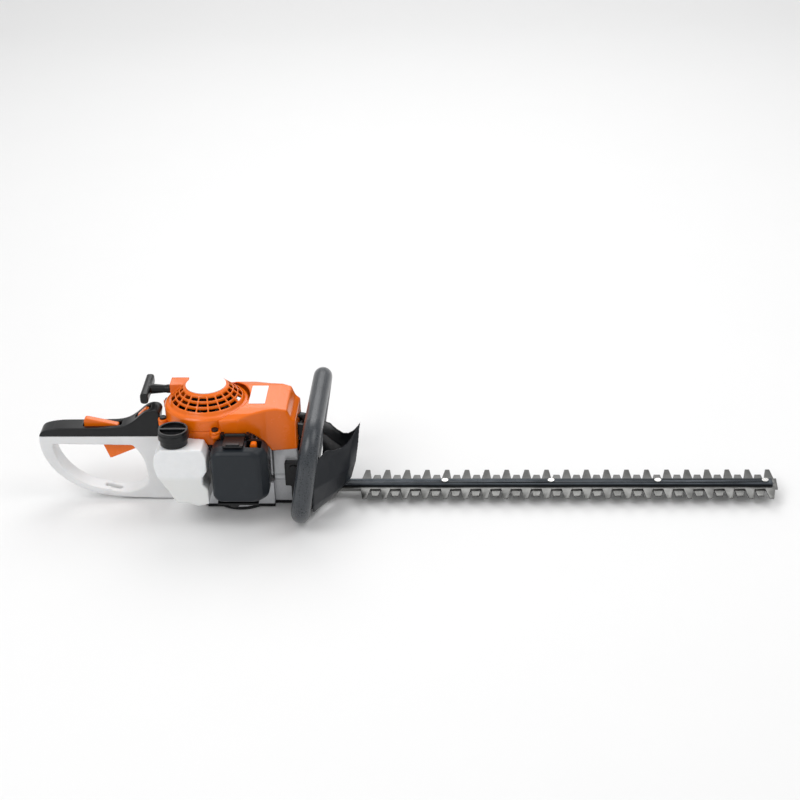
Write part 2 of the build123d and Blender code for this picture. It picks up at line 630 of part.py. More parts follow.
# ---------------------------------------------------------------- clutch drum with its pinion
with BuildPart() as clutch_drum:
    with BuildSketch(Plane.XY.offset(GEAR_Z)):
        with BuildLine():
            Polyline(*gear_outline(PINION_TEETH, GEAR_MODULE, GEAR_BACKLASH, 0.0), close=True)
        make_face()
    extrude(amount=GEAR_FACE)
    with BuildSketch(Plane.XY.offset(GEAR_TOP_Z)):
        Circle(PINION_SHAFT_RADIUS)
    extrude(amount=DRUM_FLOOR_Z - GEAR_TOP_Z)
    with BuildSketch(Plane.XY.offset(DRUM_FLOOR_Z)):
        Circle(DRUM_RADIUS)
    extrude(amount=DRUM_TOP_Z - DRUM_FLOOR_Z)
    with BuildSketch(Plane.XY.offset(DRUM_FLOOR_Z + DRUM_WALL)):
        Circle(DRUM_RADIUS - DRUM_WALL)
    extrude(amount=DRUM_TOP_Z - DRUM_FLOOR_Z, mode=Mode.SUBTRACT)
clutch_drum.part.label = "clutch_drum"
export_step(clutch_drum.part, "parts/clutch_drum.step")

# ---------------------------------------------------------------- clutch carrier, shoes and spring

with BuildPart() as clutch_carrier:
    with BuildSketch(Plane.XY.offset(SHOE_BOTTOM_Z)):
        Circle(SHOE_INNER_RADIUS - 1.5)
        Rectangle(2 * (SHOE_OUTER_RADIUS - 3), 2 * CARRIER_HALF_WIDTH)
        Circle(CRANK_SHAFT_RADIUS + RUNNING_CLEARANCE, mode=Mode.SUBTRACT)
    extrude(amount=SHOE_HEIGHT)
clutch_carrier.part.label = "clutch_carrier"
export_step(clutch_carrier.part, "parts/clutch_carrier.step")


with BuildPart() as clutch_shoes:
    with BuildSketch(Plane.XY.offset(SHOE_BOTTOM_Z)):
        Circle(SHOE_OUTER_RADIUS)
        Circle(SHOE_INNER_RADIUS, mode=Mode.SUBTRACT)
        Rectangle(3 * SHOE_OUTER_RADIUS, 2 * CARRIER_HALF_WIDTH + 2, mode=Mode.SUBTRACT)
    extrude(amount=SHOE_HEIGHT)
clutch_shoes.part.label = "clutch_shoes"
export_step(clutch_shoes.part, "parts/clutch_shoes.step")

# ---------------------------------------------------------------- crankshaft, rod and piston

with BuildPart() as crankshaft:
    with BuildSketch(Plane.XY.offset(SHAFT_BOTTOM_Z)):
        Circle(CRANK_SHAFT_RADIUS)
    extrude(amount=LOWER_WEB_Z - SHAFT_BOTTOM_Z)
    with BuildSketch(Plane.XY.offset(LOWER_WEB_Z)):
        Circle(CRANK_WEB_RADIUS)
    extrude(amount=CRANK_WEB_THICKNESS)
    with BuildSketch(Plane.XY.offset(LOWER_WEB_Z)):
        with Locations((CRANK_RADIUS, 0)):
            Circle(CRANK_PIN_RADIUS)
    extrude(amount=UPPER_WEB_Z - LOWER_WEB_Z)
    with BuildSketch(Plane.XY.offset(UPPER_WEB_Z)):
        Circle(CRANK_WEB_RADIUS)
    extrude(amount=CRANK_WEB_THICKNESS)
    with BuildSketch(Plane.XY.offset(UPPER_WEB_Z)):
        Circle(CRANK_SHAFT_RADIUS)
    extrude(amount=SHAFT_TOP_Z - UPPER_WEB_Z)
crankshaft.part.label = "crankshaft"
export_step(crankshaft.part, "parts/crankshaft.step")


with BuildPart() as connecting_rod:
    with BuildSketch(Plane.XY.offset(CYLINDER_Z - ROD_HALF_THICKNESS)):
        with Locations((CRANK_RADIUS, 0)):
            Circle(ROD_BIG_END_RADIUS)
        with Locations((PISTON_PIN_X, 0)):
            Circle(ROD_SMALL_END_RADIUS)
        with Locations(((CRANK_RADIUS + PISTON_PIN_X) / 2, 0)):
            Rectangle(ROD_LENGTH, 7.0)
        with Locations((CRANK_RADIUS, 0)):
            Circle(CRANK_PIN_RADIUS + RUNNING_CLEARANCE, mode=Mode.SUBTRACT)
        with Locations((PISTON_PIN_X, 0)):
            Circle(PISTON_PIN_RADIUS + RUNNING_CLEARANCE, mode=Mode.SUBTRACT)
    extrude(amount=2 * ROD_HALF_THICKNESS)
connecting_rod.part.label = "connecting_rod"
export_step(connecting_rod.part, "parts/connecting_rod.step")


with BuildPart() as piston:
    with BuildSketch(Plane.YZ.offset(PISTON_SKIRT_X)):
        with Locations((0, CYLINDER_Z)):
            Circle(PISTON_RADIUS)
    extrude(amount=PISTON_LENGTH)
    with BuildSketch(Plane.YZ.offset(PISTON_SKIRT_X)):
        with Locations((0, CYLINDER_Z)):
            Circle(PISTON_RADIUS - 2.5)
            Rectangle(2 * PISTON_RADIUS, 2 * (ROD_HALF_THICKNESS + 1.5), mode=Mode.INTERSECT)
    extrude(amount=PISTON_LENGTH - 4.0, mode=Mode.SUBTRACT)
    with BuildSketch(Plane.XY.offset(CYLINDER_Z - PISTON_PIN_HALF)):
        with Locations((PISTON_PIN_X, 0)):
            Circle(PISTON_PIN_RADIUS)
    extrude(amount=2 * PISTON_PIN_HALF, mode=Mode.SUBTRACT)
piston.part.label = "piston"
export_step(piston.part, "parts/piston.step")

with BuildPart() as piston_pin:
    with BuildSketch(Plane.XY.offset(CYLINDER_Z - PISTON_PIN_HALF)):
        with Locations((PISTON_PIN_X, 0)):
            Circle(PISTON_PIN_RADIUS)
            Circle(PISTON_PIN_RADIUS - 1.6, mode=Mode.SUBTRACT)
    extrude(amount=2 * PISTON_PIN_HALF)
piston_pin.part.label = "piston_pin"
export_step(piston_pin.part, "parts/piston_pin.step")

# ---------------------------------------------------------------- crankcase halves, bearings and seals


def crankcase_half(bottom_z, top_z, bearing_z):
    """One half of the crankcase, split level with the cylinder's axis."""
    with BuildPart() as half:
        with BuildSketch(Plane.XY.offset(bottom_z)):
            Circle(CASE_RADIUS)
            with Locations((CASE_FRONT_X / 2, 0)):
                Rectangle(CASE_FRONT_X, 2 * FLANGE_HALF_WIDTH)
            with Locations((REAR_PAD_X / 2, 0)):
                Rectangle(-REAR_PAD_X, 2 * REAR_PAD_HALF_WIDTH)
        extrude(amount=top_z - bottom_z)
        with BuildSketch(Plane.XY.offset(max(bottom_z, CHAMBER_BOTTOM_Z))):
            Circle(CHAMBER_RADIUS)
        extrude(amount=min(top_z, CHAMBER_TOP_Z) - max(bottom_z, CHAMBER_BOTTOM_Z), mode=Mode.SUBTRACT)
        with BuildSketch(Plane.XY.offset(bearing_z)):
            Circle(MAIN_BEARING_RADIUS)
        extrude(amount=MAIN_BEARING_WIDTH, mode=Mode.SUBTRACT)
        with BuildSketch(Plane.XY.offset(bottom_z)):
            Circle(CRANK_SHAFT_RADIUS + 1.0)
        extrude(amount=top_z - bottom_z, mode=Mode.SUBTRACT)
        with BuildSketch(Plane.YZ.offset(CHAMBER_RADIUS - 8)):
            with Locations((0, CYLINDER_Z)):
                Circle(BORE_RADIUS + 0.5)
        extrude(amount=CASE_FRONT_X - CHAMBER_RADIUS + 9, mode=Mode.SUBTRACT)
    return half.part


crankcase_lower = crankcase_half(CASE_BOTTOM_Z, CASE_SPLIT_Z, BOTTOM_BEARING_Z)
crankcase_lower.label = "crankcase_lower"
export_step(crankcase_lower, "parts/crankcase_lower.step")
crankcase_upper = crankcase_half(CASE_SPLIT_Z, CASE_TOP_Z, UPPER_BEARING_Z)
crankcase_upper.label = "crankcase_upper"
export_step(crankcase_upper, "parts/crankcase_upper.step")

with BuildPart() as bearings:
    with BuildSketch(Plane.XY.offset(GEAR_CASE_ROOF_Z)):
        Circle(DRUM_BEARING_RADIUS)
        Circle(PINION_SHAFT_RADIUS + RUNNING_CLEARANCE, mode=Mode.SUBTRACT)
    extrude(amount=GEAR_CASE_TOP_Z - GEAR_CASE_ROOF_Z)
    for z in (BOTTOM_BEARING_Z, UPPER_BEARING_Z):
        with BuildSketch(Plane.XY.offset(z)):
            Circle(MAIN_BEARING_RADIUS)
            Circle(CRANK_SHAFT_RADIUS + RUNNING_CLEARANCE, mode=Mode.SUBTRACT)
        extrude(amount=MAIN_BEARING_WIDTH)
bearings.part.label = "bearings"
export_step(bearings.part, "parts/bearings.step")

# ---------------------------------------------------------------- finned cylinder and spark plug

with BuildPart() as cylinder:
    for fin in range(FIN_COUNT):
        with BuildSketch(Plane.YZ.offset(FIN_FIRST_X + fin * FIN_PITCH)):
            with Locations((0, CYLINDER_Z)):
                RectangleRounded(2 * FIN_HALF_WIDTH, 2 * FIN_HALF_HEIGHT, 8)
        extrude(amount=FIN_THICKNESS)
    for side, width, height in ((-1, 28.0, 28.0), (1, 22.0, 18.0)):
        with BuildSketch(Plane.XY.offset(CYLINDER_Z - height / 2)):
            with Locations((INTAKE_X, side * 30)):
                Rectangle(width, 50)
        extrude(amount=height, mode=Mode.SUBTRACT)
    with BuildSketch(Plane.YZ.offset(CYLINDER_BASE_X)):
        with Locations((0, CYLINDER_Z)):
            Circle(BARREL_RADIUS)
    extrude(amount=CYLINDER_END_X - CYLINDER_BASE_X)
    with BuildSketch(Plane.YZ.offset(CYLINDER_BASE_X)):
        with Locations((0, CYLINDER_Z)):
            Rectangle(2 * FLANGE_HALF_WIDTH - 4, 46)
    extrude(amount=4.0)
    with BuildSketch(Plane.YZ.offset(CYLINDER_BASE_X)):
        with Locations((0, CYLINDER_Z)):
            Circle(BORE_RADIUS)
    extrude(amount=COMBUSTION_END_X - CYLINDER_BASE_X, mode=Mode.SUBTRACT)
    with BuildSketch(Plane.YZ.offset(COMBUSTION_END_X)):
        with Locations((0, CYLINDER_Z)):
            Circle(PLUG_RADIUS)
    extrude(amount=CYLINDER_END_X - COMBUSTION_END_X + 5, mode=Mode.SUBTRACT)
cylinder.part.label = "cylinder"
export_step(cylinder.part, "parts/cylinder.step")


with BuildPart() as spark_plug:
    with BuildSketch(Plane.YZ.offset(COMBUSTION_END_X)):
        with Locations((0, CYLINDER_Z)):
            Circle(PLUG_RADIUS - 0.05)
    extrude(amount=PLUG_HEX_X - COMBUSTION_END_X)
    with BuildSketch(Plane.YZ.offset(PLUG_HEX_X)):
        with Locations((0, CYLINDER_Z)):
            RegularPolygon(9.0, 6)
    extrude(amount=5.0)
    with BuildSketch(Plane.YZ.offset(PLUG_HEX_X + 5.0)):
        with Locations((0, CYLINDER_Z)):
            Circle(4.0)
    extrude(amount=14.0)
spark_plug.part.label = "spark_plug"
export_step(spark_plug.part, "parts/spark_plug.step")


# ---------------------------------------------------------------- fan wheel and ignition
with BuildPart() as fan_wheel:
    with BuildSketch(Plane.XY.offset(FAN_Z)):
        Circle(FAN_RADIUS)
    extrude(amount=FAN_DISC_THICKNESS)
    with BuildSketch(Plane.XY.offset(FAN_Z + FAN_DISC_THICKNESS)):
        with PolarLocations((FAN_RADIUS + 24) / 2, FAN_BLADE_COUNT):
            Rectangle(FAN_RADIUS - 24, 2.4)
    extrude(amount=FAN_BLADE_HEIGHT)
    with BuildSketch(Plane.XY.offset(FAN_Z + FAN_DISC_THICKNESS)):
        Circle(14.0)
    extrude(amount=10.0)
    with BuildSketch(Plane.XY.offset(FAN_Z + FAN_DISC_THICKNESS + 10)):
        Circle(STARTER_CUP_RADIUS)
        Circle(STARTER_CUP_RADIUS - 2, mode=Mode.SUBTRACT)
    extrude(amount=STARTER_CUP_HEIGHT)
    with BuildSketch(Plane.XY.offset(FAN_Z)):
        Circle(CRANK_SHAFT_RADIUS + RUNNING_CLEARANCE)
    extrude(amount=40, mode=Mode.SUBTRACT)
fan_wheel.part.label = "fan_wheel"
export_step(fan_wheel.part, "parts/fan_wheel.step")


with BuildPart() as ignition_module:
    with BuildSketch(Plane.XY.offset(CASE_TOP_Z + 2)):
        with PolarLocations(FAN_RADIUS + 5, 1, start_angle=IGNITION_ANGLE):
            Rectangle(8, 22)
    extrude(amount=25.0)
ignition_module.part.label = "ignition_module"
export_step(ignition_module.part, "parts/ignition_module.step")

# ---------------------------------------------------------------- starter
with BuildPart() as rope_pulley:
    with BuildSketch(Plane.XY.offset(PULLEY_Z)):
        Circle(PULLEY_RADIUS)
        Circle(STARTER_POST_RADIUS + RUNNING_CLEARANCE, mode=Mode.SUBTRACT)
    extrude(amount=PULLEY_WIDTH)
    with BuildSketch(Plane.XY.offset(PULLEY_Z + 2)):
        Circle(PULLEY_RADIUS)
        Circle(PULLEY_RADIUS - 7, mode=Mode.SUBTRACT)
    extrude(amount=PULLEY_WIDTH - 4, mode=Mode.SUBTRACT)
    with BuildSketch(Plane.XY.offset(PULLEY_Z - 6)):
        Circle(10.0)
        Circle(STARTER_POST_RADIUS + RUNNING_CLEARANCE, mode=Mode.SUBTRACT)
    extrude(amount=6.0)
rope_pulley.part.label = "rope_pulley"
export_step(rope_pulley.part, "parts/rope_pulley.step")


with BuildPart() as rewind_spring:
    with BuildSketch(Plane.XY.offset(SPRING_Z)):
        for turn in range(5):
            Circle(11.0 + 2.6 * turn)
            Circle(10.2 + 2.6 * turn, mode=Mode.SUBTRACT)
    extrude(amount=SPRING_HEIGHT)
rewind_spring.part.label = "rewind_spring"
export_step(rewind_spring.part, "parts/rewind_spring.step")

# ---------------------------------------------------------------- starter housing with its grille

with BuildPart() as starter_housing:
    with BuildSketch(Plane.XZ):
        with BuildLine():
            Polyline(
                (0, BADGE_Z - 3.0),
                (BADGE_RADIUS, BADGE_Z - 3.0),
                (GRILLE_OUTER_RADIUS - 4.0, GRILLE_RIM_Z - 2.0),
                (GRILLE_OUTER_RADIUS - 1.5, HOUSING_RIM_Z + 0.4),
                (HOUSING_RADIUS - HOUSING_WALL, HOUSING_RIM_Z - 2.6),
                (HOUSING_RADIUS - HOUSING_WALL, SHROUD_SEAM_Z),
                (HOUSING_RADIUS, SHROUD_SEAM_Z),
                (HOUSING_RADIUS, HOUSING_RIM_Z - 1.0),
                (HOUSING_RADIUS - 2.5, HOUSING_RIM_Z + 2.0),
                (GRILLE_OUTER_RADIUS + 1.0, HOUSING_RIM_Z + 3.4),
                (GRILLE_OUTER_RADIUS - 1.5, GRILLE_RIM_Z + 0.5),
                (BADGE_RADIUS + 2.5, BADGE_Z - 1.5),
                (BADGE_RADIUS, BADGE_Z),
                (0, BADGE_Z),
                close=True,
            )
        make_face()
    revolve(axis=Axis.Z)
    with BuildSketch(Plane.XY.offset(HOUSING_RIM_Z)):
        with Locations((BOSS_REAR_X / 2 - 15, ROPE_Y)):
            Rectangle(-BOSS_REAR_X - 30, 2 * BOSS_HALF_WIDTH)
    extrude(amount=BOSS_TOP_Z - HOUSING_RIM_Z)
    with BuildSketch(Plane.XY.offset(HOUSING_RIM_Z - 4)):
        with Locations((BOSS_REAR_X / 2 - 12, ROPE_Y)):
            Rectangle(-BOSS_REAR_X - 24 - 2 * HOUSING_WALL, 2 * (BOSS_HALF_WIDTH - HOUSING_WALL))
    extrude(amount=BOSS_TOP_Z - HOUSING_RIM_Z + 4 - HOUSING_WALL, mode=Mode.SUBTRACT)
    with BuildSketch(Plane.XY.offset(HOUSING_RIM_Z - 10)):
        Circle(PULLEY_RADIUS + 2.5)
    extrude(amount=BADGE_Z - 3.0 - HOUSING_RIM_Z + 10, mode=Mode.SUBTRACT)
    ring_width = (GRILLE_OUTER_RADIUS - 2.0 - BADGE_RADIUS - 3.0) / GRILLE_RINGS
    with BuildSketch(Plane.XY.offset(HOUSING_RIM_Z + 1)):
        for ring in reversed(range(GRILLE_RINGS)):
            inner = BADGE_RADIUS + 3.5 + ring * ring_width
            Circle(inner + ring_width - 1.6)
            Circle(inner, mode=Mode.SUBTRACT)
        with PolarLocations(GRILLE_OUTER_RADIUS / 2, GRILLE_SPOKES):
            Rectangle(GRILLE_OUTER_RADIUS + 4, 2.2, mode=Mode.SUBTRACT)
        with Locations((BOSS_REAR_X / 2 - 15, ROPE_Y)):
            Rectangle(-BOSS_REAR_X - 28, 2 * BOSS_HALF_WIDTH + 2, mode=Mode.SUBTRACT)
    extrude(amount=BADGE_Z - HOUSING_RIM_Z + 6, mode=Mode.SUBTRACT)
    with BuildSketch(Plane.XY.offset(POST_BOTTOM_Z)):
        Circle(STARTER_POST_RADIUS)
    extrude(amount=BADGE_Z - 2 - POST_BOTTOM_Z)
    with BuildSketch(Plane.YZ.offset(BOSS_REAR_X - 1)):
        with Locations((ROPE_Y, ROPE_Z)):
            Circle(ROPE_RADIUS + 0.8)
    extrude(amount=HOUSING_WALL + 2, mode=Mode.SUBTRACT)
    with BuildSketch(Plane.XY.offset(SHROUD_SEAM_Z)):
        with Locations(*LUG_SPOTS):
            Circle(LUG_RADIUS)
        Circle(HOUSING_RADIUS - 1, mode=Mode.SUBTRACT)
    extrude(amount=LUG_THICKNESS)
    with BuildSketch(Plane.XY.offset(SHROUD_SEAM_Z)):
        with Locations(*LUG_SPOTS):
            Circle(LID_SCREW_RADIUS)
    extrude(amount=LUG_THICKNESS, mode=Mode.SUBTRACT)
starter_housing.part.label = "starter_housing"
export_step(starter_housing.part, "parts/starter_housing.step")

with BuildPart() as starter_rope:
    with BuildSketch(Plane.YZ.offset(GRIP_X + 4)):
        with Locations((ROPE_Y, ROPE_Z)):
            Circle(ROPE_RADIUS)
    extrude(amount=-GRIP_X - 4)
starter_rope.part.label = "starter_rope"
export_step(starter_rope.part, "parts/starter_rope.step")


with BuildPart() as starter_grip:
    with BuildSketch(Plane.XZ.offset(-ROPE_Y - 33.0)):
        with Locations((GRIP_X + 3, ROPE_Z)):
            RectangleRounded(12.0, 17.0, 4.5)
    extrude(amount=66.0)
    with BuildSketch(Plane.YZ.offset(GRIP_X + 6)):
        with Locations((ROPE_Y, ROPE_Z)):
            Circle(8.0)
    with BuildSketch(Plane.YZ.offset(GRIP_NECK_END_X)):
        with Locations((ROPE_Y, ROPE_Z)):
            Circle(5.2)
    loft()
    with BuildSketch(Plane.YZ.offset(GRIP_NECK_END_X - 6)):
        with Locations((ROPE_Y, ROPE_Z)):
            Circle(6.6)
    extrude(amount=6.0)
    with BuildSketch(Plane.YZ.offset(GRIP_X + 4)):
        with Locations((ROPE_Y, ROPE_Z)):
            Circle(ROPE_RADIUS)
    extrude(amount=60.0, mode=Mode.SUBTRACT)
starter_grip.part.label = "starter_grip"
export_step(starter_grip.part, "parts/starter_grip.step")

# ---------------------------------------------------------------- engine cover with its forward hood


def hood_solid(inset):
    """The hood over the cylinder, shrunk by an inset on its sides, front and top."""
    with BuildPart() as body:
        with BuildSketch(Plane.XY.offset(HOOD_BOTTOM_Z - inset)):
            with BuildLine():
                rear = HOUSING_RADIUS - inset
                Polyline(
                    (0, rear),
                    (50, 60 - inset),
                    (92, 44 - inset),
                    (SHROUD_FRONT_X - inset, SHROUD_FRONT_HALF_WIDTH - inset),
                    (SHROUD_FRONT_X - inset, inset - SHROUD_FRONT_HALF_WIDTH),
                    (92, inset - 44),
                    (50, inset - 60),
                    (0, -rear),
                    close=True,
                )
            make_face()
        extrude(amount=100)
        with BuildSketch(Plane.XZ.offset(-80)):
            with BuildLine():
                Polyline(
                    (-1, HOOD_BOTTOM_Z - inset),
                    (-1, SHROUD_SEAM_Z + 8 - inset),
                    (20, 166.5 - inset),
                    (60, HOOD_TOP_Z - inset),
                    (106, HOOD_TOP_Z - inset),
                    (122 - inset, HOOD_TOP_Z - 4.0 - inset),
                    (127 - inset, HOOD_TOP_Z - 17.0 - inset),
                    (SHROUD_FRONT_X, SHROUD_FRONT_TOP_Z + 4.5 - inset),
                    (SHROUD_FRONT_X, HOOD_BOTTOM_Z - inset),
                    close=True,
                )
            make_face()
        extrude(amount=160, mode=Mode.INTERSECT)
        with BuildSketch(Plane.YZ.offset(-1)):
            with BuildLine():
                Polyline(
                    (-70, HOOD_BOTTOM_Z - inset),
                    (-70, 152.0 - inset),
                    (-52, 165.0 - inset),
                    (-30, 170.0 - inset),
                    (30, 170.0 - inset),
                    (52, 165.0 - inset),
                    (70, 152.0 - inset),
                    (70, HOOD_BOTTOM_Z - inset),
                    close=True,
                )
            make_face()
        extrude(amount=140, mode=Mode.INTERSECT)
    return body.part


hood_outside = hood_solid(0.0)
hood_inside = hood_solid(HOUSING_WALL)

with BuildPart() as engine_cover:
    with BuildSketch(Plane.XY.offset(HOUSING_SKIRT_Z)):
        Circle(HOUSING_RADIUS)
    extrude(amount=SHROUD_SEAM_Z - HOUSING_SKIRT_Z)
    with BuildSketch(Plane.XY.offset(SHROUD_SEAM_Z - LUG_DEPTH)):
        with Locations(*LUG_SPOTS):
            Circle(LUG_RADIUS)
    extrude(amount=LUG_DEPTH)
    add(hood_outside)
    with BuildSketch(Plane.XY.offset(HOOD_BOTTOM_Z - 5)):
        Circle(HOUSING_RADIUS - HOUSING_WALL)
    extrude(amount=80, mode=Mode.SUBTRACT)
    add(hood_inside, mode=Mode.SUBTRACT)
    with BuildSketch(Plane.XY.offset(SHROUD_SEAM_Z)):
        Circle(HOUSING_RADIUS + 0.3)
        with Locations(*LUG_SPOTS):
            Circle(LUG_RADIUS + 0.3)
    extrude(amount=40, mode=Mode.SUBTRACT)
    with BuildSketch(Plane.XZ.offset(-90)):
        with BuildLine():
            Polyline(
                (-80, 90),
                (-80, HOUSING_SKIRT_Z),
                (26, HOUSING_SKIRT_Z),
                (37, 137),
                (69, 133),
                (86, 117),
                (97, HOOD_BOTTOM_Z),
                (97, 90),
                close=True,
            )
        make_face()
    extrude(amount=180, mode=Mode.SUBTRACT)
    with BuildSketch(Plane.XY.offset(SHROUD_SEAM_Z - LID_SCREW_DEPTH)):
        with Locations(*LUG_SPOTS):
            Circle(LID_SCREW_RADIUS)
    extrude(amount=LID_SCREW_DEPTH, mode=Mode.SUBTRACT)
    with BuildSketch(Plane.YZ.offset(SHROUD_FRONT_X - 5)):
        with Locations((0, 134.5)):
            Circle(4.0)
    extrude(amount=8, mode=Mode.SUBTRACT)
engine_cover.part.label = "engine_cover"
export_step(engine_cover.part, "parts/engine_cover.step")

with BuildPart() as cover_screws:
    with BuildSketch(Plane.XY.offset(SHROUD_SEAM_Z - LID_SCREW_DEPTH)):
        with Locations(*LUG_SPOTS):
            Circle(LID_SCREW_RADIUS)
    extrude(amount=LID_SCREW_DEPTH + LUG_THICKNESS)
    with BuildSketch(Plane.XY.offset(SHROUD_SEAM_Z + LUG_THICKNESS)):
        with Locations(*LUG_SPOTS):
            Circle(LID_SCREW_HEAD)
    extrude(amount=3.0)
    with BuildSketch(Plane.XY.offset(POST_BOTTOM_Z - 1.6)):
        Circle(8.0)
    extrude(amount=1.6)
    with BuildSketch(Plane.XY.offset(POST_BOTTOM_Z - 4.6)):
        RegularPolygon(4.5, 6)
    extrude(amount=3.0)
    for side in (-1, 1):
        with BuildSketch(Plane.XZ.offset(-side * (BRACKET_HALF_WIDTH - 12))):
            with Locations((BRACKET_SCREW_X, BRACKET_SCREW_Z)):
                Circle(3.0)
        extrude(amount=-side * 12)
        with BuildSketch(Plane.XZ.offset(-side * BRACKET_HALF_WIDTH)):
            with Locations((BRACKET_SCREW_X, BRACKET_SCREW_Z)):
                Circle(5.5)
        extrude(amount=-side * 2.5)
cover_screws.part.label = "housing_screws"
export_step(cover_screws.part, "parts/housing_screws.step")

with BuildPart() as labels:
    with BuildSketch(Plane.XY.offset(BADGE_Z)):
        Circle(BADGE_RADIUS - 0.8)
    extrude(amount=1.2)
    with BuildSketch(Plane.XY.offset(HOOD_TOP_Z)):
        with Locations((77, 2)):
            RectangleRounded(24, 56, 1.5)
    extrude(amount=0.8)
labels.part.label = "labels"
export_step(labels.part, "parts/labels.step")

with BuildPart() as fan_baffle:
    with BuildSketch(Plane.XY.offset(CASE_TOP_Z)):
        Circle(HOUSING_RADIUS - HOUSING_WALL - 0.1)
        Circle(12.0, mode=Mode.SUBTRACT)
    extrude(amount=2.0)
    with BuildSketch(Plane.XY.offset(CASE_TOP_Z + 2)):
        Circle(HOUSING_RADIUS - HOUSING_WALL - 0.1)
        Circle(HOUSING_RADIUS - HOUSING_WALL - 1.2, mode=Mode.SUBTRACT)
    extrude(amount=HOUSING_SKIRT_Z - CASE_TOP_Z + 4)
    with BuildSketch(Plane.XY.offset(CASE_TOP_Z)):
        with Locations((95, 0)):
            Rectangle(100, 140)
    extrude(amount=30, mode=Mode.SUBTRACT)
fan_baffle.part.label = "fan_baffle"
export_step(fan_baffle.part, "parts/fan_baffle.step")

# ---------------------------------------------------------------- rear handle, grip and levers

with BuildPart() as rear_handle:
    with BuildSketch(Plane.XZ.offset(-HANDLE_HALF_WIDTH)):
        with BuildLine():
            Line((HANDLE_FRONT_X, 2.0), (HANDLE_FRONT_X, HANDLE_SPLIT_Z))
            Line((HANDLE_FRONT_X, HANDLE_SPLIT_Z), (HANDLE_REAR_X, HANDLE_SPLIT_Z))
            Spline(
                (HANDLE_REAR_X, HANDLE_SPLIT_Z),
                (HANDLE_REAR_X + 3, 78),
                (HANDLE_REAR_X + 26, 41),
                (HANDLE_REAR_X + 76, 12),
                (HANDLE_REAR_X + 130, 3.5),
                (-88, 2.0),
            )
            Line((-88, 2.0), (HANDLE_FRONT_X, 2.0))
        make_face()
        with BuildLine():
            Line((-236, 95), (-116, 93))
            Spline((-116, 93), (-103, 74), (-97, 50), (-99, 28), (-116, 16.5), (-158, 18))
            Spline((-158, 18), (-198, 31), (-222, 54), (-236, 95))
        make_face(mode=Mode.SUBTRACT)
    extrude(amount=2 * HANDLE_HALF_WIDTH)
    with BuildSketch(Plane.XY.offset(97.5)):
        with Locations((-157, 0)):
            Rectangle(160, 2 * LEVER_ROOM_HALF)
    extrude(amount=20, mode=Mode.SUBTRACT)
    with BuildSketch(Plane.XY.offset(85)):
        with Locations((-136, 0)):
            Rectangle(62, 2 * TRIGGER_SLOT_HALF)
    extrude(amount=20, mode=Mode.SUBTRACT)
    with BuildSketch(Plane.XY.offset(2)):
        with Locations((-152, 0)):
            SlotOverall(26, 8)
    extrude(amount=20, mode=Mode.SUBTRACT)
    with BuildSketch(Plane.XZ.offset(-LEVER_PIN_HALF)):
        with Locations((TRIGGER_PIVOT_X, TRIGGER_PIVOT_Z)):
            Circle(LEVER_PIN_RADIUS)
    extrude(amount=2 * LEVER_PIN_HALF, mode=Mode.SUBTRACT)
rear_handle.part.label = "rear_handle"
export_step(rear_handle.part, "parts/rear_handle.step")


with BuildPart() as grip_cover:
    with BuildSketch(Plane.XZ.offset(-HANDLE_HALF_WIDTH)):
        with BuildLine():
            Line((HANDLE_REAR_X, HANDLE_SPLIT_Z), (-76, HANDLE_SPLIT_Z))
            Line((-76, HANDLE_SPLIT_Z), (-70, 143))
            Spline(
                (-70, 143),
                (-74, 150),
                (-86, 151),
                (-104, 139),
                (-124, 126),
                (-150, GRIP_TOP_Z + 0.5),
                (-200, GRIP_TOP_Z),
                (HANDLE_REAR_X + 14, GRIP_TOP_Z - 3),
                (HANDLE_REAR_X + 3, GRIP_TOP_Z - 8),
                (HANDLE_REAR_X, HANDLE_SPLIT_Z),
            )
        make_face()
    extrude(amount=2 * HANDLE_HALF_WIDTH)
    with BuildSketch(Plane.XY.offset(HANDLE_SPLIT_Z)):
        with Locations((-167, 0)):
            Rectangle(140, 2 * LEVER_ROOM_HALF)
    extrude(amount=GRIP_TOP_Z - HANDLE_WALL - HANDLE_SPLIT_Z, mode=Mode.SUBTRACT)
    with BuildSketch(Plane.XY.offset(HANDLE_SPLIT_Z)):
        with Locations((-160, 0)):
            Rectangle(58, 2 * TRIGGER_SLOT_HALF)
    extrude(amount=30, mode=Mode.SUBTRACT)
    with BuildSketch(Plane.XY.offset(124)):
        with Locations((SWITCH_X, 0)):
            Rectangle(24, 11)
    extrude(amount=40, mode=Mode.SUBTRACT)
    with BuildSketch(Plane.XZ.offset(-TRUNNION_HALF)):
        with Locations((SWITCH_X, SWITCH_Z)):
            Circle(TRUNNION_RADIUS + RUNNING_CLEARANCE)
    extrude(amount=2 * TRUNNION_HALF, mode=Mode.SUBTRACT)
    with BuildSketch(Plane.XZ.offset(-LEVER_PIN_HALF)):
        with Locations((LOCKOUT_PIVOT_X, LOCKOUT_PIVOT_Z)):
            Circle(LEVER_PIN_RADIUS)
    extrude(amount=2 * LEVER_PIN_HALF, mode=Mode.SUBTRACT)
grip_cover.part.label = "grip_cover"
export_step(grip_cover.part, "parts/grip_cover.step")

with BuildPart() as lever_pins:
    with BuildSketch(Plane.XZ.offset(-LEVER_PIN_HALF)):
        with Locations((TRIGGER_PIVOT_X, TRIGGER_PIVOT_Z), (LOCKOUT_PIVOT_X, LOCKOUT_PIVOT_Z)):
            Circle(LEVER_PIN_RADIUS)
    extrude(amount=2 * LEVER_PIN_HALF)
lever_pins.part.label = "lever_pins"
export_step(lever_pins.part, "parts/lever_pins.step")

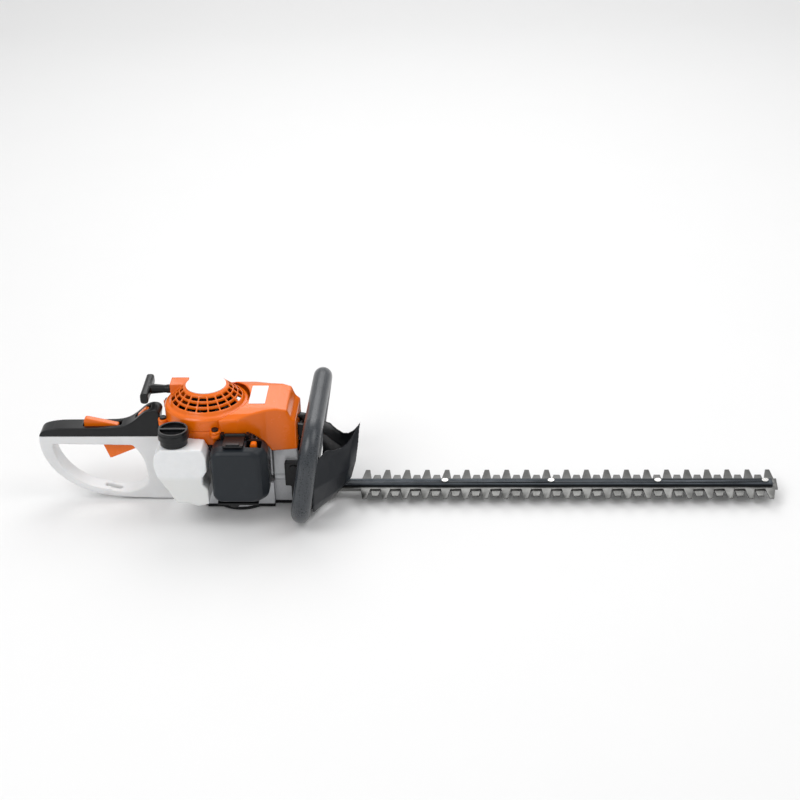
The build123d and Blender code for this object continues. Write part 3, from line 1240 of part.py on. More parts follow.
with BuildPart() as throttle_trigger:
    with BuildSketch(Plane.XZ.offset(-LEVER_HALF_WIDTH)):
        with BuildLine():
            Polyline(
                (TRIGGER_PIVOT_X - 49, 95.0),
                (TRIGGER_PIVOT_X - 46, 86.0),
                (TRIGGER_PIVOT_X - 39, 67.0),
                (TRIGGER_PIVOT_X - 36, 67.0),
                (TRIGGER_PIVOT_X + 4, 84.0),
                (TRIGGER_PIVOT_X + 5, TRIGGER_PIVOT_Z + 3.0),
                (TRIGGER_PIVOT_X - 6, TRIGGER_PIVOT_Z + 4.5),
                (TRIGGER_PIVOT_X - 20, 98.0),
                close=True,
            )
        make_face()
        with Locations((TRIGGER_PIVOT_X, TRIGGER_PIVOT_Z)):
            Circle(LEVER_PIN_RADIUS + RUNNING_CLEARANCE, mode=Mode.SUBTRACT)
    extrude(amount=2 * LEVER_HALF_WIDTH)
throttle_trigger.part.label = "throttle_trigger"
export_step(throttle_trigger.part, "parts/throttle_trigger.step")

with BuildPart() as trigger_lockout:
    with BuildSketch(Plane.XZ.offset(-LEVER_HALF_WIDTH)):
        with BuildLine():
            Polyline(
                (-187, 114.0),
                (-187, 130.0),
                (-185, 133.0),
                (-181, 133.0),
                (-136, 122.5),
                (LOCKOUT_PIVOT_X + 6, LOCKOUT_PIVOT_Z - 3.5),
                (LOCKOUT_PIVOT_X - 6, LOCKOUT_PIVOT_Z - 3.5),
                (-165, 112.5),
                close=True,
            )
        make_face()
        with Locations((LOCKOUT_PIVOT_X, LOCKOUT_PIVOT_Z)):
            Circle(LEVER_PIN_RADIUS + RUNNING_CLEARANCE, mode=Mode.SUBTRACT)
    extrude(amount=2 * LEVER_HALF_WIDTH)
trigger_lockout.part.label = "trigger_lockout"
export_step(trigger_lockout.part, "parts/trigger_lockout.step")

with BuildPart() as stop_switch:
    with BuildSketch(Plane.XZ.offset(-4.5)):
        with BuildLine():
            Polyline(
                (SWITCH_X - 8, 132.0),
                (SWITCH_X - 8, 138.0),
                (SWITCH_X + 4, 149.0),
                (SWITCH_X + 9, 148.0),
                (SWITCH_X + 8, 132.0),
                (SWITCH_X + 3, 129.0),
                (SWITCH_X - 3, 129.0),
                close=True,
            )
        make_face()
    extrude(amount=9.0)
    with BuildSketch(Plane.XZ.offset(-TRUNNION_HALF + 0.5)):
        with Locations((SWITCH_X, SWITCH_Z)):
            Circle(TRUNNION_RADIUS)
    extrude(amount=2 * TRUNNION_HALF - 1)
stop_switch.part.label = "stop_switch"
export_step(stop_switch.part, "parts/stop_switch.step")

# ---------------------------------------------------------------- fuel tank and cap
def tank_solid(inset):
    """The blow-moulded tank body, shrunk all round by an inset."""
    with BuildPart() as body:
        with BuildSketch(Plane.XZ.offset(-TANK_FAR_Y + inset)):
            with BuildLine():
                Polyline(
                    (-40 + inset, 44 + inset),
                    (-50 + inset, 62 + inset),
                    (-66 + inset, 88 + inset),
                    (-70 + inset, 104 + inset),
                    (-68 + inset, 122 - inset),
                    (-58 + inset, TANK_TOP_Z - inset),
                    (2 - inset, TANK_TOP_Z - inset),
                    (8 - inset, 118 - inset),
                    (8 - inset, 96),
                    (1 - inset, 86),
                    (1 - inset, 74),
                    (8 - inset, 66),
                    (8 - inset, 42 + inset),
                    (-8, 38 + inset),
                    (-22, 43 + inset),
                    close=True,
                )
            make_face()
        extrude(amount=TANK_FAR_Y - TANK_NEAR_Y - 2 * inset)
        with BuildSketch(Plane.XY.offset(TANK_SHOULDER_Z - inset)):
            Circle(HOUSING_RADIUS + 2 + inset)
            with Locations(*LUG_SPOTS):
                Circle(LUG_RADIUS + 2 + inset)
        extrude(amount=40, mode=Mode.SUBTRACT)
    return body.part


tank_outside = tank_solid(0.0)
tank_inside = tank_solid(TANK_WALL)

with BuildPart() as fuel_tank:
    add(tank_outside)
    with BuildSketch(Plane.XY.offset(TANK_TOP_Z - 8)):
        with Locations((NECK_X, NECK_Y)):
            Circle(NECK_RADIUS)
    extrude(amount=NECK_TOP_Z - TANK_TOP_Z + 8)
    add(tank_inside, mode=Mode.SUBTRACT)
    with BuildSketch(Plane.XY.offset(TANK_TOP_Z - 9)):
        with Locations((NECK_X, NECK_Y)):
            Circle(NECK_RADIUS - TANK_WALL)
    extrude(amount=NECK_TOP_Z - TANK_TOP_Z + 10, mode=Mode.SUBTRACT)
fuel_tank.part.label = "fuel_tank"
export_step(fuel_tank.part, "parts/fuel_tank.step")

with BuildPart() as fuel_cap:
    with BuildSketch(Plane.XY.offset(CAP_BOTTOM_Z)):
        with Locations((NECK_X, NECK_Y)):
            Circle(CAP_RADIUS - 2.5)
    extrude(amount=CAP_TOP_Z - CAP_BOTTOM_Z)
    with BuildSketch(Plane.XY.offset(CAP_TOP_Z - 9)):
        with Locations((NECK_X, NECK_Y)):
            Circle(CAP_RADIUS)
    extrude(amount=9.0)
    with BuildSketch(Plane.XY.offset(CAP_TOP_Z)):
        with Locations((NECK_X, NECK_Y)):
            Circle(CAP_RADIUS - 0.8)
            Circle(CAP_RADIUS - 3.4, mode=Mode.SUBTRACT)
            Rectangle(2 * CAP_RADIUS - 4, 4.5)
    extrude(amount=CAP_WING_HEIGHT)
    with BuildSketch(Plane.XY.offset(CAP_BOTTOM_Z)):
        with Locations((NECK_X, NECK_Y)):
            Circle(NECK_RADIUS + 0.5)
    extrude(amount=NECK_TOP_Z - CAP_BOTTOM_Z + 0.5, mode=Mode.SUBTRACT)
fuel_cap.part.label = "fuel_cap"
export_step(fuel_cap.part, "parts/fuel_cap.step")

with BuildPart() as rubber_mounts:
    with BuildSketch(Plane.XZ.offset(-TANK_FAR_Y)):
        with Locations((-8, 72), (-8, 104)):
            Circle(7.0)
    extrude(amount=TANK_FAR_Y + 30)
    with BuildSketch(Plane.XY.offset(50)):
        Circle(CASE_RADIUS)
    extrude(amount=70, mode=Mode.SUBTRACT)
    with BuildSketch(Plane.YZ.offset(HANDLE_FRONT_X)):
        with Locations((0, 71), (0, 99)):
            Circle(BUFFER_RADIUS)
    extrude(amount=REAR_PAD_X - HANDLE_FRONT_X)
rubber_mounts.part.label = "rubber_mounts"
export_step(rubber_mounts.part, "parts/rubber_mounts.step")

# ---------------------------------------------------------------- air filter


def filter_shell(inset, front_y):
    """The cushion-shaped filter cover, shrunk by an inset, with its face at front_y."""
    mid_x = (FILTER_REAR_X + FILTER_FRONT_X) / 2
    mid_z = (FILTER_BOTTOM_Z + FILTER_TOP_Z) / 2
    width = FILTER_FRONT_X - FILTER_REAR_X - 2 * inset
    height = FILTER_TOP_Z - FILTER_BOTTOM_Z - 2 * inset
    with BuildPart() as shell:
        with BuildSketch(Plane.XZ.offset(-BASE_Y + 0.4)):
            with Locations((mid_x, mid_z)):
                RectangleRounded(width, height, 15 - inset)
        extrude(amount=BASE_Y - 0.4 - front_y - 16)
        with BuildSketch(Plane.XZ.offset(-front_y - 16)):
            with Locations((mid_x, mid_z)):
                RectangleRounded(width, height, 15 - inset)
        with BuildSketch(Plane.XZ.offset(-front_y - 4)):
            with Locations((mid_x - 3, mid_z - 0.5)):
                RectangleRounded(width - 10, height - 5, 14 - inset)
        with BuildSketch(Plane.XZ.offset(-front_y)):
            with Locations((mid_x - 5, mid_z - 1)):
                RectangleRounded(width - 20, height - 13, 11 - inset)
        loft(ruled=True)
    return shell.part


shell_outside = filter_shell(0.0, FILTER_COVER_Y)
shell_inside = filter_shell(FILTER_WALL, FILTER_COVER_Y + FILTER_WALL)

with BuildPart() as notch_walls:
    with BuildSketch(Plane.XZ.offset(-BASE_Y + 0.4)):
        with Locations(((NOTCH_REAR_X + NOTCH_FRONT_X) / 2, NOTCH_BOTTOM_Z + 20)):
            notch_width = NOTCH_FRONT_X - NOTCH_REAR_X
            Rectangle(notch_width + 2 * FILTER_WALL, 40 + 2 * FILTER_WALL)
    extrude(amount=BASE_Y - NOTCH_Y + FILTER_WALL - 0.4)
    add(shell_outside, mode=Mode.INTERSECT)

with BuildPart() as filter_cover:
    add(shell_outside)
    add(shell_inside, mode=Mode.SUBTRACT)
    add(notch_walls.part)
    with BuildSketch(Plane.XZ.offset(-BASE_Y - 1)):
        with Locations(((NOTCH_REAR_X + NOTCH_FRONT_X) / 2, NOTCH_BOTTOM_Z + 20)):
            Rectangle(NOTCH_FRONT_X - NOTCH_REAR_X, 40)
    extrude(amount=BASE_Y - NOTCH_Y + 1, mode=Mode.SUBTRACT)
filter_cover.part.label = "filter_cover"
export_step(filter_cover.part, "parts/filter_cover.step")

with BuildPart() as filter_base:
    with BuildSketch(Plane.XZ.offset(-FILTER_BACK_Y)):
        with Locations(((FILTER_REAR_X + FILTER_FRONT_X) / 2, (FILTER_BOTTOM_Z + FILTER_TOP_Z) / 2)):
            RectangleRounded(
                FILTER_FRONT_X - FILTER_REAR_X - 2,
                FILTER_TOP_Z - FILTER_BOTTOM_Z - 2,
                14,
            )
    extrude(amount=FILTER_BASE_THICKNESS)
    with BuildSketch(Plane.XY.offset(SHELF_Z)):
        with Locations(((20 + 80) / 2, (BASE_Y - 27 + FILTER_BACK_Y) / 2)):
            Rectangle(60, FILTER_BACK_Y - BASE_Y + 27)
    extrude(amount=3.0)
    with BuildSketch(Plane.XY.offset(SHELF_Z)):
        with Locations((50, (BASE_Y + FILTER_BACK_Y) / 2)):
            Rectangle(56, FILTER_BASE_THICKNESS)
    extrude(amount=12.0)
    with BuildSketch(Plane.XY.offset(SHELF_Z - 6)):
        with Locations((27, PRIMER_Y), (68, PRIMER_Y)):
            Circle(4.5)
    extrude(amount=6.0)
    with BuildSketch(Plane.XY.offset(FILTER_TOP_Z - 4)):
        with Locations((29.5, LATCH_Y - 1), (66.5, LATCH_Y - 1)):
            Rectangle(4.0, 10.0)
    extrude(amount=LATCH_Z + 3.5 - FILTER_TOP_Z + 4)
    with BuildSketch(Plane.YZ.offset(20)):
        with Locations((LATCH_Y, LATCH_Z)):
            Circle(LATCH_PIN_RADIUS + RUNNING_CLEARANCE)
    extrude(amount=60, mode=Mode.SUBTRACT)
    with BuildSketch(Plane.XY.offset(SHELF_Z)):
        with Locations((PRIMER_X, PRIMER_Y)):
            Circle(PRIMER_RADIUS + 0.4)
    extrude(amount=3.0, mode=Mode.SUBTRACT)
    with BuildSketch(Plane.XZ.offset(-FILTER_BACK_Y - 1)):
        with Locations((INTAKE_X, CYLINDER_Z)):
            Circle(INTAKE_PORT_RADIUS)
        with Locations((CHOKE_X, CHOKE_Z)):
            Circle(CHOKE_SHAFT_RADIUS + RUNNING_CLEARANCE)
    extrude(amount=FILTER_BASE_THICKNESS + 2, mode=Mode.SUBTRACT)
filter_base.part.label = "filter_base"
export_step(filter_base.part, "parts/filter_base.step")

with BuildPart() as filter_element:
    with BuildSketch(Plane.XZ.offset(-BASE_Y)):
        with Locations(((FILTER_REAR_X + FILTER_FRONT_X) / 2 - 2, 82)):
            RectangleRounded(60, 52, 8)
    extrude(amount=22)
    with BuildSketch(Plane.XZ.offset(-BASE_Y)):
        with Locations((INTAKE_X, CYLINDER_Z)):
            Circle(INTAKE_PORT_RADIUS + 2)
    extrude(amount=16, mode=Mode.SUBTRACT)
filter_element.part.label = "filter_element"
export_step(filter_element.part, "parts/filter_element.step")

with BuildPart() as filter_latch:
    with BuildSketch(Plane.XY.offset(LATCH_Z - 2.6)):
        with Locations((48, LATCH_Y - 17)):
            RectangleRounded(30, 34, 3)
    extrude(amount=3.0)
    with BuildSketch(Plane.XY.offset(LATCH_Z + 0.4)):
        with Locations((48, LATCH_Y - 30)):
            RectangleRounded(20, 6, 2)
    extrude(amount=2.0)
    with BuildSketch(Plane.YZ.offset(33)):
        with Locations((LATCH_Y, LATCH_Z)):
            Circle(2.9)
    extrude(amount=30)
    with BuildSketch(Plane.YZ.offset(28)):
        with Locations((LATCH_Y, LATCH_Z)):
            Circle(LATCH_PIN_RADIUS)
    extrude(amount=40)
filter_latch.part.label = "filter_latch"
export_step(filter_latch.part, "parts/filter_latch.step")

with BuildPart() as choke_lever:
    with BuildSketch(Plane.XZ.offset(-FILTER_BACK_Y)):
        with Locations((CHOKE_X, CHOKE_Z)):
            Circle(CHOKE_SHAFT_RADIUS)
    extrude(amount=FILTER_BACK_Y + 91)
    with BuildSketch(Plane.XZ.offset(82)):
        with Locations((CHOKE_X, CHOKE_Z)):
            Circle(5.5)
        with Locations((CHOKE_X, CHOKE_Z + 6)):
            RectangleRounded(9, 14, 3)
    extrude(amount=9)
choke_lever.part.label = "choke_lever"
export_step(choke_lever.part, "parts/choke_lever.step")

with BuildPart() as primer_bulb:
    with BuildSketch(Plane.XY.offset(SHELF_Z - 4.5)):
        with Locations((PRIMER_X, PRIMER_Y)):
            Circle(PRIMER_RADIUS)
    extrude(amount=6.5)
    with BuildSketch(Plane.XY.offset(SHELF_Z - 6.5)):
        with Locations((PRIMER_X, PRIMER_Y)):
            Circle(PRIMER_RADIUS + 2)
    extrude(amount=2.5)
    with BuildSketch(Plane.XY.offset(SHELF_Z - 9)):
        with Locations((PRIMER_X, PRIMER_Y)):
            Circle(PRIMER_RADIUS)
    extrude(amount=2.5)
primer_bulb.part.label = "primer_bulb"
export_step(primer_bulb.part, "parts/primer_bulb.step")

# ---------------------------------------------------------------- intake, carburettor and muffler
with BuildPart() as intake_spacer:
    with BuildSketch(Plane.XZ.offset(20)):
        with Locations((INTAKE_X, CYLINDER_Z)):
            RectangleRounded(26, 26, 4)
    extrude(amount=CARB_REAR_Y * -1 - 20)
    with BuildSketch(Plane.YZ.offset(40)):
        with Locations((0, CYLINDER_Z)):
            Circle(BARREL_RADIUS)
    extrude(amount=60, mode=Mode.SUBTRACT)
    with BuildSketch(Plane.XZ.offset(10)):
        with Locations((INTAKE_X, CYLINDER_Z)):
            Circle(INTAKE_PORT_RADIUS)
    extrude(amount=40, mode=Mode.SUBTRACT)
intake_spacer.part.label = "intake_spacer"
export_step(intake_spacer.part, "parts/intake_spacer.step")

with BuildPart() as carburettor:
    with BuildSketch(Plane.XZ.offset(-CARB_REAR_Y)):
        with Locations((INTAKE_X, CYLINDER_Z)):
            RectangleRounded(28, 28, 3)
    extrude(amount=CARB_REAR_Y - FILTER_BACK_Y)
    with BuildSketch(Plane.XZ.offset(-FILTER_BACK_Y - 2.5)):
        with Locations((INTAKE_X, CYLINDER_Z)):
            RectangleRounded(40, 32, 4)
    extrude(amount=2.5)
    with BuildSketch(Plane.XZ.offset(-CARB_REAR_Y)):
        with Locations((INTAKE_X, CYLINDER_Z)):
            Circle(INTAKE_PORT_RADIUS)
    extrude(amount=30, mode=Mode.SUBTRACT)
    with BuildSketch(Plane.XY.offset(CYLINDER_Z + 9)):
        with Locations((INTAKE_X, CARB_LEVER_Y)):
            Circle(CARB_LEVER_SHAFT + RUNNING_CLEARANCE)
    extrude(amount=6, mode=Mode.SUBTRACT)
carburettor.part.label = "carburettor"
export_step(carburettor.part, "parts/carburettor.step")

with BuildPart() as carb_lever:
    with BuildSketch(Plane.XY.offset(CYLINDER_Z + 9.4)):
        with Locations((INTAKE_X, CARB_LEVER_Y)):
            Circle(CARB_LEVER_SHAFT)
    extrude(amount=8)
    with BuildSketch(Plane.XY.offset(CYLINDER_Z + 15)):
        with Locations((INTAKE_X, CARB_LEVER_Y)):
            Circle(5.0)
        with Locations((INTAKE_X - 6, CARB_LEVER_Y)):
            RectangleRounded(15, 5, 2)
    extrude(amount=2.0)
carb_lever.part.label = "carb_throttle_lever"
export_step(carb_lever.part, "parts/carb_throttle_lever.step")

with BuildPart() as muffler:
    with BuildSketch(Plane.XZ.offset(-MUFFLER_FAR_Y)):
        muffler_mid = ((MUFFLER_REAR_X + MUFFLER_FRONT_X) / 2, (MUFFLER_BOTTOM_Z + MUFFLER_TOP_Z) / 2)
        with Locations(muffler_mid):
            RectangleRounded(
                MUFFLER_FRONT_X - MUFFLER_REAR_X,
                MUFFLER_TOP_Z - MUFFLER_BOTTOM_Z,
                9,
            )
    extrude(amount=MUFFLER_FAR_Y - MUFFLER_NEAR_Y)
    with BuildSketch(Plane.XZ.offset(-MUFFLER_NEAR_Y)):
        with Locations((INTAKE_X, CYLINDER_Z)):
            RectangleRounded(20, 16, 3)
    extrude(amount=MUFFLER_NEAR_Y - 18)
    with BuildSketch(Plane.YZ.offset(40)):
        with Locations((0, CYLINDER_Z)):
            Circle(BARREL_RADIUS)
    extrude(amount=60, mode=Mode.SUBTRACT)
    with BuildSketch(Plane.XZ.offset(-MUFFLER_FAR_Y + 2)):
        with Locations(muffler_mid):
            RectangleRounded(
                MUFFLER_FRONT_X - MUFFLER_REAR_X - 4,
                MUFFLER_TOP_Z - MUFFLER_BOTTOM_Z - 4,
                7,
            )
    extrude(amount=MUFFLER_FAR_Y - MUFFLER_NEAR_Y - 4, mode=Mode.SUBTRACT)
    with BuildSketch(Plane.XZ.offset(-MUFFLER_NEAR_Y - 3)):
        with Locations((INTAKE_X, CYLINDER_Z)):
            Circle(5.0)
    extrude(amount=MUFFLER_NEAR_Y, mode=Mode.SUBTRACT)
muffler.part.label = "muffler"
export_step(muffler.part, "parts/muffler.step")

with BuildPart() as muffler_guard:
    with BuildSketch(Plane.XZ.offset(-MUFFLER_FAR_Y - 4)):
        with Locations(muffler_mid):
            RectangleRounded(
                MUFFLER_FRONT_X - MUFFLER_REAR_X + 8,
                MUFFLER_TOP_Z - MUFFLER_BOTTOM_Z + 8,
                12,
            )
    extrude(amount=MUFFLER_FAR_Y - MUFFLER_NEAR_Y)
    with BuildSketch(Plane.XZ.offset(-MUFFLER_FAR_Y - 1.8)):
        with Locations(muffler_mid):
            RectangleRounded(
                MUFFLER_FRONT_X - MUFFLER_REAR_X + 3.6,
                MUFFLER_TOP_Z - MUFFLER_BOTTOM_Z + 3.6,
                10,
            )
    extrude(amount=MUFFLER_FAR_Y, mode=Mode.SUBTRACT)
    with BuildSketch(Plane.XZ.offset(-MUFFLER_FAR_Y - 6)):
        with Locations(muffler_mid):
            with GridLocations(0, 8.0, 1, 5):
                SlotOverall(44, 4.0)
    extrude(amount=8, mode=Mode.SUBTRACT)
    with BuildSketch(Plane.XZ.offset(-MUFFLER_FAR_Y - 2)):
        with Locations(*[(muffler_mid[0] + dx, muffler_mid[1] + 26) for dx in (-24, 24)]):
            Circle(3.0)
    extrude(amount=2.0)
muffler_guard.part.label = "muffler_guard"
export_step(muffler_guard.part, "parts/muffler_guard.step")

# ---------------------------------------------------------------- hoses, cable and lead
def tube(points, radii, radius):
    """A round tube along straight runs joined by tangent arcs."""
    with BuildPart() as swept:
        with BuildLine() as path:
            FilletPolyline(*points, radius=radii)
        with BuildSketch(Plane(origin=path.line @ 0, z_dir=path.line % 0)):
            Circle(radius)
        sweep(path=path.line)
    return swept.part


carb_side_x = INTAKE_X - 14.0
hose_points = [(8.0, -58.0, 106), (24.0, -58.0, 106), (36.0, -53.0, 79), (carb_side_x, -53.0, 79)]
fuel_hose = tube(hose_points, [8.0, 8.0], 2.6)
fuel_hose.label = "fuel_hose"
export_step(fuel_hose, "parts/fuel_hose.step")
cable_points = [
    (HANDLE_FRONT_X, -13, 85),
    (-49, -13, 85),
    (-38, -41, 86),
    (28, -41, 90),
    (40, -47, 92),
    (carb_side_x, -47, 92),
]
throttle_cable = tube(cable_points, [5.0, 12.0, 12.0, 8.0], 1.6)
throttle_cable.label = "throttle_cable"
export_step(throttle_cable, "parts/throttle_cable.step")

lead_angle = math.radians(IGNITION_ANGLE)
lead_x = (FAN_RADIUS + 5) * math.cos(lead_angle) + 11 * math.sin(lead_angle)
lead_y = (FAN_RADIUS + 5) * math.sin(lead_angle) - 11 * math.cos(lead_angle)
lead_points = [
    (lead_x, lead_y, 130),
    (lead_x + 14 * math.sin(lead_angle), lead_y - 14 * math.cos(lead_angle), 130),
    (100, 12, 134.5),
    (124, 0, 134.5),
    (BOOT_ELBOW_X, 0, 134.5),
    (BOOT_ELBOW_X, 0, BOOT_TOP_Z),
]
ignition_lead = tube(lead_points, [16.0, 14.0, 14.0, 4.6], 2.6)
with BuildPart() as plug_boot:
    with BuildSketch(Plane.YZ.offset(BOOT_X)):
        with Locations((0, CYLINDER_Z)):
            Circle(8.0)
    extrude(amount=BOOT_ELBOW_X - BOOT_X)
    with BuildSketch(Plane.XY.offset(CYLINDER_Z)):
        with Locations((BOOT_ELBOW_X, 0)):
            Circle(7.0)
    extrude(amount=BOOT_TOP_Z - CYLINDER_Z)
    with BuildSketch(Plane.YZ.offset(BOOT_X)):
        with Locations((0, CYLINDER_Z)):
            Circle(4.1)
    extrude(amount=14.0, mode=Mode.SUBTRACT)
    add(ignition_lead)
plug_boot.part.label = "plug_boot_and_lead"
export_step(plug_boot.part, "parts/plug_boot_and_lead.step")

# ---------------------------------------------------------------- front handle, its bracket and the guard
with BuildPart() as mount_casting:
    with BuildSketch(Plane.XY.offset(GEAR_CASE_TOP_Z)):
        with Locations((115, 0)):
            Rectangle(36, 64)
    extrude(amount=HOOD_BOTTOM_Z - 0.5 - GEAR_CASE_TOP_Z)
    with BuildSketch(Plane.XY.offset(GEAR_CASE_TOP_Z + 6)):
        with Locations((115, 0)):
            Rectangle(40, 52)
    extrude(amount=60, mode=Mode.SUBTRACT)
    with BuildSketch(Plane.XY.offset(GEAR_CASE_TOP_Z + 3.0)):
        with Locations((115, 0)):
            Rectangle(40, 80)
            Rectangle(60, 59, mode=Mode.SUBTRACT)
    extrude(amount=9.0, mode=Mode.SUBTRACT)
mount_casting.part.label = "mount_casting"
export_step(mount_casting.part, "parts/mount_casting.step")


with BuildPart() as front_bracket:
    for side in (-1, 1):
        with BuildSketch(Plane.XY):
            with Locations((LOOP_BASE_X, side * (BRACKET_INNER_Y + BRACKET_HALF_WIDTH) / 2)):
                Rectangle(SOCKET_FRONT_X - SOCKET_REAR_X, BRACKET_HALF_WIDTH - BRACKET_INNER_Y)
        extrude(amount=GEAR_CASE_TOP_Z)
        with BuildSketch(Plane.XY.offset(40)):
            with Locations((132.0, side * (32 + BRACKET_HALF_WIDTH) / 2)):
                Rectangle(36, BRACKET_HALF_WIDTH - 32)
        extrude(amount=BRACKET_TOP_Z - 40)
    with BuildSketch(Plane.XY.offset(GEAR_CASE_TOP_Z + BRACKET_GAP)):
        with Locations((142.2, 0)):
            Rectangle(17.6, 2 * BRACKET_HALF_WIDTH)
    extrude(amount=9.0)
    for side in (-1, 1):
        with BuildSketch(Plane.XZ.offset(-side * TUBE_END_Y)):
            with Locations((LOOP_BASE_X, LOOP_BOTTOM_Z)):
                Circle(BRACKET_HOLE_RADIUS)
        extrude(amount=-side * 40, mode=Mode.SUBTRACT)
        with BuildSketch(Plane.XZ.offset(-side * (BRACKET_HALF_WIDTH - 12))):
            with Locations((BRACKET_SCREW_X, BRACKET_SCREW_Z)):
                Circle(3.0)
        extrude(amount=-side * 20, mode=Mode.SUBTRACT)
        with BuildSketch(Plane.XZ.offset(-16 * side - 4)):
            with BuildLine():
                Polyline(
                    (136, GEAR_CASE_TOP_Z + BRACKET_GAP + 9),
                    (150, GEAR_CASE_TOP_Z + BRACKET_GAP + 9),
                    (156, 78),
                    (153, 116),
                    (144, 129),
                    (SHROUD_FRONT_X, 131),
                    (SHROUD_FRONT_X, 113),
                    (142, 108),
                    (144, 80),
                    close=True,
                )
            make_face()
        extrude(amount=8)
front_bracket.part.label = "front_bracket"
export_step(front_bracket.part, "parts/front_bracket.step")

loop_plane = Plane(
    origin=(LOOP_BASE_X, 0, LOOP_BOTTOM_Z),
    x_dir=(0, 1, 0),
    z_dir=(math.cos(LEAN_ANGLE), 0, -math.sin(LEAN_ANGLE)),
)

with BuildPart() as loop_handle:
    with BuildLine(loop_plane) as loop_path:
        FilletPolyline(
            (TUBE_END_Y, 0),
            (LOOP_HALF_WIDTH, 0),
            (LOOP_HALF_WIDTH, LOOP_RISE),
            (-LOOP_HALF_WIDTH, LOOP_RISE),
            (-LOOP_HALF_WIDTH, 0),
            (-TUBE_END_Y, 0),
            radius=LOOP_CORNER,
        )
    with BuildSketch(Plane(origin=loop_path.line @ 0, z_dir=loop_path.line % 0)):
        Circle(LOOP_TUBE_RADIUS)
    sweep(path=loop_path.line)
loop_handle.part.label = "loop_handle"
export_step(loop_handle.part, "parts/loop_handle.step")


def guard_wall(curve):
    """Closed outline in plan of the guard's wall, from one side of its front curve."""
    front = [(x, -y) for x, y in reversed(curve)] + [(x, y) for x, y in curve[1:]]
    back = [(x - GUARD_THICKNESS, y) for x, y in reversed(front)]
    Polyline(*front, *back, close=True)


with BuildPart() as guard:
    for height, curve in zip(GUARD_LEVELS, GUARD_CURVES):
        with BuildSketch(Plane.XY.offset(height)):
            with BuildLine():
                guard_wall(curve)
            make_face()
    loft(ruled=True)
    with BuildSketch(Plane.XZ.offset(-GUARD_SPAN)):
        with BuildLine():
            Polyline(
                *GUARD_RIM,
                (GUARD_RIM[-1][0], GUARD_CEILING),
                (GUARD_RIM[0][0], GUARD_CEILING),
                close=True,
            )
        make_face()
    extrude(amount=2 * GUARD_SPAN, mode=Mode.SUBTRACT)
    for side in (-1, 1):
        for arm_front, arm_low in GUARD_ARMS:
            with BuildSketch(Plane.XY.offset(arm_low)):
                with Locations(((SOCKET_FRONT_X + arm_front) / 2, side * GUARD_ARM_Y)):
                    Rectangle(arm_front - SOCKET_FRONT_X, GUARD_ARM_WIDTH)
            extrude(amount=GUARD_ARM_TOP - arm_low)
    with BuildSketch(Plane.YZ.offset(140)):
        with Locations((0, 10)):
            Rectangle(2 * KNIFE_HALF_WIDTH + 6, 36)
    extrude(amount=80, mode=Mode.SUBTRACT)
guard.part.label = "blade_guard"
export_step(guard.part, "parts/blade_guard.step")
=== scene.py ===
"""Looks of the petrol hedge trimmer: finishes, moulded shells, stage, lights and camera."""

import logging
import math
from dataclasses import dataclass, field
from enum import Enum
from typing import Any, Sequence

import bmesh
import bpy
from mathutils import Euler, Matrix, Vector


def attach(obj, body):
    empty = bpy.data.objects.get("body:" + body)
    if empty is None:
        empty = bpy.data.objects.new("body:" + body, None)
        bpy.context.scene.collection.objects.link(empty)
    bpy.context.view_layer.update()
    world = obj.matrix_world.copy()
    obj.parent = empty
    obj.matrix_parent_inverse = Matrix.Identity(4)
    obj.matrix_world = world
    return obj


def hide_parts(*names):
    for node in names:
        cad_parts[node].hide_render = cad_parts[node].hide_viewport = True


log = logging.getLogger("hedge_trimmer")
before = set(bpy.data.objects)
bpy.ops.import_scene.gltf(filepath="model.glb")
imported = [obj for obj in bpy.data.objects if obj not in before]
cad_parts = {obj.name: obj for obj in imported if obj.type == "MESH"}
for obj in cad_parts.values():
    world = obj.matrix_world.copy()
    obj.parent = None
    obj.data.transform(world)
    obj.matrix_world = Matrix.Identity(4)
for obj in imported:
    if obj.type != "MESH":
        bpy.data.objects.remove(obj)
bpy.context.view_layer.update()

Colour = tuple[float, float, float]
MM = 0.001


class Axis(Enum):
    """Direction in which a finish has its grain."""

    X = (0.02, 1.0, 1.0)
    Y = (1.0, 0.02, 1.0)
    Z = (1.0, 1.0, 0.02)
    NONE = (1.0, 1.0, 1.0)


class Sock:
    """A shader value that ordinary arithmetic builds node trees from."""

    def __init__(self, shader: "Shader", socket: Any) -> None:
        self.shader = shader
        self.socket = socket

    def _math(self, operation: str, *others: Any) -> "Sock":
        """Adds a Math node with this value first."""
        return self.shader.node("ShaderNodeMath", {"operation": operation}, [self, *others])

    def __add__(self, other: Any) -> "Sock":
        """Adds a value."""
        return self._math("ADD", other)

    __radd__ = __add__

    def __mul__(self, other: Any) -> "Sock":
        """Multiplies by a value."""
        return self._math("MULTIPLY", other)

    __rmul__ = __mul__

    def __sub__(self, other: Any) -> "Sock":
        """Subtracts a value."""
        return self._math("SUBTRACT", other)

    def __rsub__(self, other: Any) -> "Sock":
        """Subtracts this value from another."""
        return self.shader.node("ShaderNodeMath", {"operation": "SUBTRACT"}, [other, self])

    def __truediv__(self, other: Any) -> "Sock":
        """Divides by a value."""
        return self._math("DIVIDE", other)

    def __rtruediv__(self, other: Any) -> "Sock":
        """Divides another value by this one."""
        return self.shader.node("ShaderNodeMath", {"operation": "DIVIDE"}, [other, self])

    def clamp(self) -> "Sock":
        """Limits the value to the range 0 to 1.

        Returns:
            The limited value.
        """
        return self.shader.node("ShaderNodeClamp", {}, [self, 0.0, 1.0])

    def ramp(self, low: float, high: float) -> "Sock":
        """Rises from 0 at one value to 1 at another.

        Args:
            low: Value that gives 0.
            high: Value that gives 1.

        Returns:
            The ramped value, limited to 0 to 1.
        """
        return ((self - low) / (high - low)).clamp()


